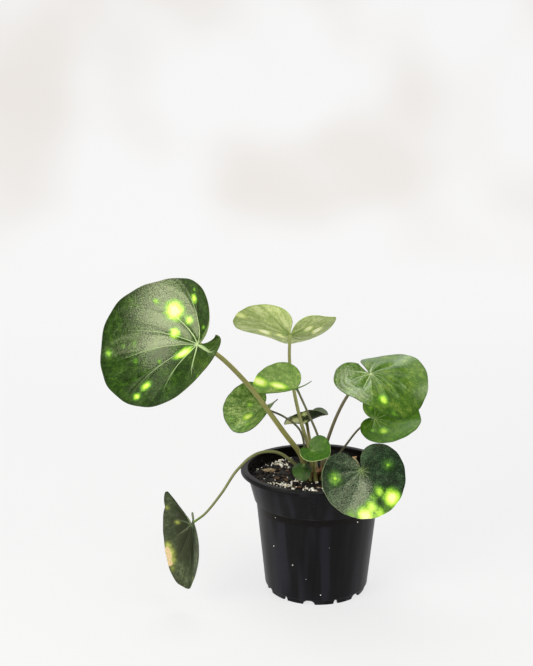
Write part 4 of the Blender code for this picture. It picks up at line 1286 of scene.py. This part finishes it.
def smooth_route(knots, spacing):
    """Points along a centripetal Catmull-Rom curve through the knots."""
    knots = [2 * knots[0] - knots[1]] + list(knots) + [2 * knots[-1] - knots[-2]]
    route = []
    for k in range(1, len(knots) - 2):
        p0, p1, p2, p3 = knots[k - 1:k + 3]
        steps = max(1, round(np.linalg.norm(p2 - p1) / spacing))
        t = [0.0]
        for a, b in ((p0, p1), (p1, p2), (p2, p3)):
            t.append(t[-1] + math.sqrt(np.linalg.norm(b - a)))
        for step in range(steps):
            s = t[1] + (t[2] - t[1]) * step / steps
            a1 = (t[1] - s) / (t[1] - t[0]) * p0 + (s - t[0]) / (t[1] - t[0]) * p1
            a2 = (t[2] - s) / (t[2] - t[1]) * p1 + (s - t[1]) / (t[2] - t[1]) * p2
            a3 = (t[3] - s) / (t[3] - t[2]) * p2 + (s - t[2]) / (t[3] - t[2]) * p3
            b1 = (t[2] - s) / (t[2] - t[0]) * a1 + (s - t[0]) / (t[2] - t[0]) * a2
            b2 = (t[3] - s) / (t[3] - t[1]) * a2 + (s - t[1]) / (t[3] - t[1]) * a3
            route.append((t[2] - s) / (t[2] - t[1]) * b1 + (s - t[1]) / (t[2] - t[1]) * b2)
    route.append(knots[-2])
    return np.array(route)


def stalk_route(one):
    """Centre line from the bottom of the hole in the mix to just under the blade."""
    x, y = stalk_foot(one)
    tip, _, face = leaf_axes(one)
    top = one["stalk"][1]
    end = np.array(one["joint"], float) - face * (BLADE_THICKNESS / 2 + 0.2)
    before = end - face * 2.2 * top - tip * 1.2 * top
    ground = [np.array([x, y, SOIL_TOP + above]) for above in (-STALK_DEPTH, -2.5, 2.0)]
    knots = ground + [np.array(point, float) for point in one["route"]] + [before, end]
    return smooth_route(knots, STALK_SPACING)


print(f"the low left stalk has {len(stalk_route(LEAVES[-1]))} rings")

# %% Build one stalk
RIB_COUNT, RIB_DEPTH = 7, 0.05
FOOT_SWELL, FOOT_LENGTH, FOOT_SPAN = 0.45, 12.0, 40
NECK_SWELL, NECK_LENGTH = 0.30, 5.0


def make_stalk(one):
    route = stalk_route(one)
    _, _, face = leaf_axes(one)
    travelled = np.concatenate([[0], np.cumsum(np.linalg.norm(np.diff(route, axis=0), axis=1))])
    low, top = one["stalk"]
    piece, around, along = grid_piece("petiole_" + one["name"], STALK_AROUND, len(route) + 1)
    row = np.rint(along * (len(route) + 1)).astype(int)
    radius = low + (top - low) * travelled / travelled[-1]
    above = route[:, 2] - SOIL_TOP
    near_foot = travelled < FOOT_SPAN
    radius = radius * (1 + FOOT_SWELL * np.exp(-(above / FOOT_LENGTH) ** 2) * near_foot * (above > 0))
    radius = radius * (1 + NECK_SWELL * np.exp(-((travelled[-1] - travelled) / NECK_LENGTH) ** 2))
    sides, others = [], []
    side = np.array([1.0, 0.0, 0.0])
    for k in range(len(route)):
        ahead = route[min(k + 1, len(route) - 1)] - route[max(k - 1, 0)]
        ahead = face if k == len(route) - 1 else unit(ahead)
        side = unit(side - ahead * (side @ ahead))
        sides.append(side)
        others.append(np.cross(ahead, side))
    ring = np.clip(row - 1, 0, len(route) - 1)
    closed = (row == 0) | (row == len(route) + 1)
    turn = 2 * math.pi * around
    wide = np.where(closed, 0, radius[ring] * (1 + RIB_DEPTH * np.cos(RIB_COUNT * turn + 0.02 * ring)))
    points = (route[ring] + (wide * np.cos(turn))[:, None] * np.array(sides)[ring]
              + (wide * np.sin(turn))[:, None] * np.array(others)[ring])
    set_points(piece, points * MM)
    point_uv(piece, "growth", around * 2 * math.pi * low * MM, travelled[ring] * MM)
    point_attribute(piece, "along", travelled[ring] / travelled[-1])
    merge_doubles(piece)
    return piece


# %% [markdown]
# A stalk's skin is smooth and faintly streaked along its length.  It is brown near the crown, olive
# along most of its length and greener just under the blade.

# %% Stalk material
def stalk_skin(name, foot, middle, top):
    material, add, surface = new_material(name)
    growth = add("UVMap", uv_map="growth")
    streak = add("TexNoise", add("Mapping", growth, scale=(1, 0.05, 1)), scale=per(0.6), detail=3,
                 roughness=0.6)
    speck = add("TexNoise", growth, scale=per(1.2), detail=3, roughness=0.6)
    along = add("Attribute", attribute_name="along", out="Fac")
    wander = add("Math", along, add("Math", add("Math", streak, 0.5, **LESS), 0.10, **TIMES))
    colour = add("ValToRGB", wander, stops=[(0.06, foot), (0.30, middle), (0.90, middle), (0.985, top)])
    colour = add("Mix", add("MapRange", streak, 0.45, 0.75, 0, 0.35, **SOFT), colour, foot, **RGBA)
    relief = add("Bump", height=speck, distance=0.05 * MM)
    surface(ior=1.42, roughness=add("MapRange", streak, 0.3, 0.7, 0.42, 0.58),
            base_color=add("Mix", add("MapRange", speck, 0.62, 0.78, 0, 0.3, **SOFT), colour, "#C9C49A",
                           **RGBA),
            normal=add("Bump", height=streak, distance=0.12 * MM, normal=relief))
    return material


STALK_COLOURS = {
    "upper_left": ("#645839", "#91904F", "#ABAD60"),
    "top": ("#7C7350", "#A3A468", "#A2B268"),
    "middle": ("#54503A", "#6B6B4C", "#6E8148"),
    "left": ("#54503A", "#66664A", "#6E8148"),
    "back_small": ("#7C7350", "#938B5C", "#8FA05A"),
    "upper_right": ("#55493A", "#6F684C", "#7E8E52"),
    "right": ("#4E463A", "#66604A", "#6F7E4A"),
    "front_right": ("#6A5E40", "#7C7A4C", "#6F8A4A"),
    "small_heart": ("#6F6844", "#84864E", "#7F9E4C"),
    "small_round": ("#6F6844", "#84864E", "#7F9E4C"),
    "low_left": ("#5C5A3A", "#6F7346", "#8CB04A"),
}
for one in LEAVES:
    name = one["name"]
    stalk = make_stalk(one)
    smooth(stalk, 60)
    dress(stalk, "stalk_olive", stalk_skin("petiole_skin_" + name, *STALK_COLOURS[name]), ["stalk_" + name])

# %% [markdown]
# ## The crown
# Where the stalks meet, the dry sheaths of older leaves stand as short curled scales, tan to reddish
# brown.  The plug under them is a squat dome with blunt tips.  Each scale is a small grid that is bent
# round the crown, drawn in to a ragged tip and thickened.

# %% Build the crown
CROWN_RADIUS, CROWN_TOP = 5.6, 128.5
PLUG_TIPS, SHEATHS, SHEATH_THICKNESS = 6, 11, 0.35
# The plug's profile: share of the way up its grid, share of its radius, and height
PLUG_PROFILE = np.array([(0, 0, SOIL_TOP - STALK_DEPTH), (0.04, 1.0, SOIL_TOP - STALK_DEPTH),
                         (0.55, 1.0, SOIL_TOP + 1), (0.75, 0.92, SOIL_TOP + 5.5),
                         (0.9, 0.62, CROWN_TOP - 0.6), (1.0, 0, CROWN_TOP - 3)]).T


def round_crown(radius, turn, height):
    """Points in metres at a distance and an angle round the crown's middle."""
    x, y = CROWN_CENTRE
    return np.column_stack([x + radius * np.cos(turn), y + radius * np.sin(turn), height]) * MM


def make_plug():
    piece, around, up = grid_piece("crown_plug", 48, 16)
    turn = 2 * math.pi * around
    swell = np.cos(PLUG_TIPS * turn)
    way, share, height = PLUG_PROFILE
    radius = CROWN_RADIUS * np.interp(up, way, share) * (1 - 0.05 * (1 - swell) * (up > 0.5))
    lift = np.where(up > 0.6, 0.8 * swell * (1 - up), 0)
    set_points(piece, round_crown(radius, turn, np.interp(up, way, height) + lift))
    merge_doubles(piece, outward=True)
    return piece


def make_sheath(number, draw):
    piece, across, up = grid_piece(f"sheath_{number}", 10, 12)
    middle = 2 * math.pi * number / SHEATHS + draw.uniform(-0.15, 0.15)
    tall, wide, ring = draw.uniform(6, 12), draw.uniform(2.6, 4.4), draw.uniform(6.0, 8.6)
    taper = (1 - up ** 2.2) ** 0.6 * (1 + 0.12 * np.sin(9 * up + number))
    turn = middle + (across - 0.5) * 2 * wide * taper / ring
    flare = ring + 2.2 * up ** 2 + 0.5 * np.cos(2 * math.pi * across) * up
    height = SOIL_TOP - 0.5 + tall * up + 0.5 * np.sin(7 * across + number) * up
    set_points(piece, round_crown(flare, turn, height))
    merge_doubles(piece)
    use_modifier(piece, "SOLIDIFY", thickness=SHEATH_THICKNESS * MM, offset=0)
    return piece


def make_crown():
    draw = random.Random(5)
    crown = join_pieces([make_plug()] + [make_sheath(number, draw) for number in range(SHEATHS)])
    crown.name = crown.data.name = "crown_sheaths"
    return crown


crown = make_crown()
smooth(crown, 50)
dress(crown, "crown_fibre", dry_bark("dry_leaf_sheath", "#3A2418", "#6E4B30", "#A58258"), ["crown"])

# %% [markdown]
# ## Loose bits on the mix
# A tan chip of bark and an orange-brown flake of old leaf lie on the mix, half hidden.  Each could be
# modelled anew, but they are so small that a copy of the CAD solid does: its faces are cut finer, and
# two crossing waves roughen it without letting it grow past the solid's own box.

# %% Bark chip and dry flake
CHIP_CUTS, CHIP_ROUGHNESS = 5, 0.045
# Each wave's turns along x, y and z in radians a metre, and where each starts
CHIP_WAVES = np.array([(2100, 900, 1500), (-800, 2600, 1900)]), (0, 1)


def make_chip(node_name):
    """A weathered chip that stays inside the box of its CAD node."""
    source = frame["nodes"][node_name]
    chip = source.copy()
    chip.data = source.data.copy()
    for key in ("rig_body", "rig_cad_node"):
        if key in chip:
            del chip[key]
    chip.parent = None
    chip.name = chip.data.name = "weathered_" + node_name
    bpy.context.scene.collection.objects.link(chip)
    merge_doubles(chip, 1e-5, outward=True)
    bpy.ops.object.mode_set(mode="EDIT")
    bpy.ops.mesh.subdivide(number_cuts=CHIP_CUTS, smoothness=0.3)
    bpy.ops.object.mode_set(mode="OBJECT")
    points = points_of(chip)
    turns, starts = CHIP_WAVES
    wave = np.sin(points @ turns.T + starts).sum(1)
    centre = points.mean(0)
    rough = centre + (points - centre) * (1 + CHIP_ROUGHNESS * wave)[:, None]
    set_points(chip, np.clip(rough, points.min(0), points.max(0)))
    return chip


for node_name, slot_name, finish in (
        ("bark_chip", "bark", dry_bark("weathered_bark", "#55432F", "#8F7A5A", "#BBA884")),
        ("dry_flake", "dry_leaf", dry_bark("dry_leaf_flake", "#A0714A", "#C99D74", "#E2C4A2"))):
    chip = make_chip(node_name)
    smooth(chip, 40)
    dress(chip, slot_name, finish, [node_name])

# %% [markdown]
# ## Splashes on the pot
# A few grains of perlite stuck to the wall when the pot was filled.  They are tiny, but they are what
# the eye finds first on a dark, even surface.

# %% Stick the grains on
# Angle round the pot in degrees, height and half width in mm
SPECKS = [(-139.2, 59.4, 0.8), (-116.7, 44.2, 0.9), (-87.6, 12.6, 0.8), (-51.6, 89.7, 0.9),
          (-133.6, 93.0, 0.6), (-103, 30, 0.4), (-80, 66, 0.35), (40, 70, 0.8), (75, 30, 0.6),
          (120, 84, 0.7), (160, 50, 0.8)]
SPECK_SHAPE, SPECK_PROUD = np.array([0.8, 1.0, 0.7]), 0.2

speck_list = []
for count, (azimuth, z, size) in enumerate(SPECKS):
    angle, radius = math.radians(azimuth), pot_inner_radius(z) + WALL + SPECK_PROUD * size
    speck_list.append((count % LUMPS, (radius * math.cos(angle), radius * math.sin(angle), z),
                       SPECK_SHAPE * size, np.eye(3)))
specks = scatter("stuck_grains", perlite_shapes, speck_list)
smooth(specks, 40)
dress(specks, "soil_mix", PERLITE)
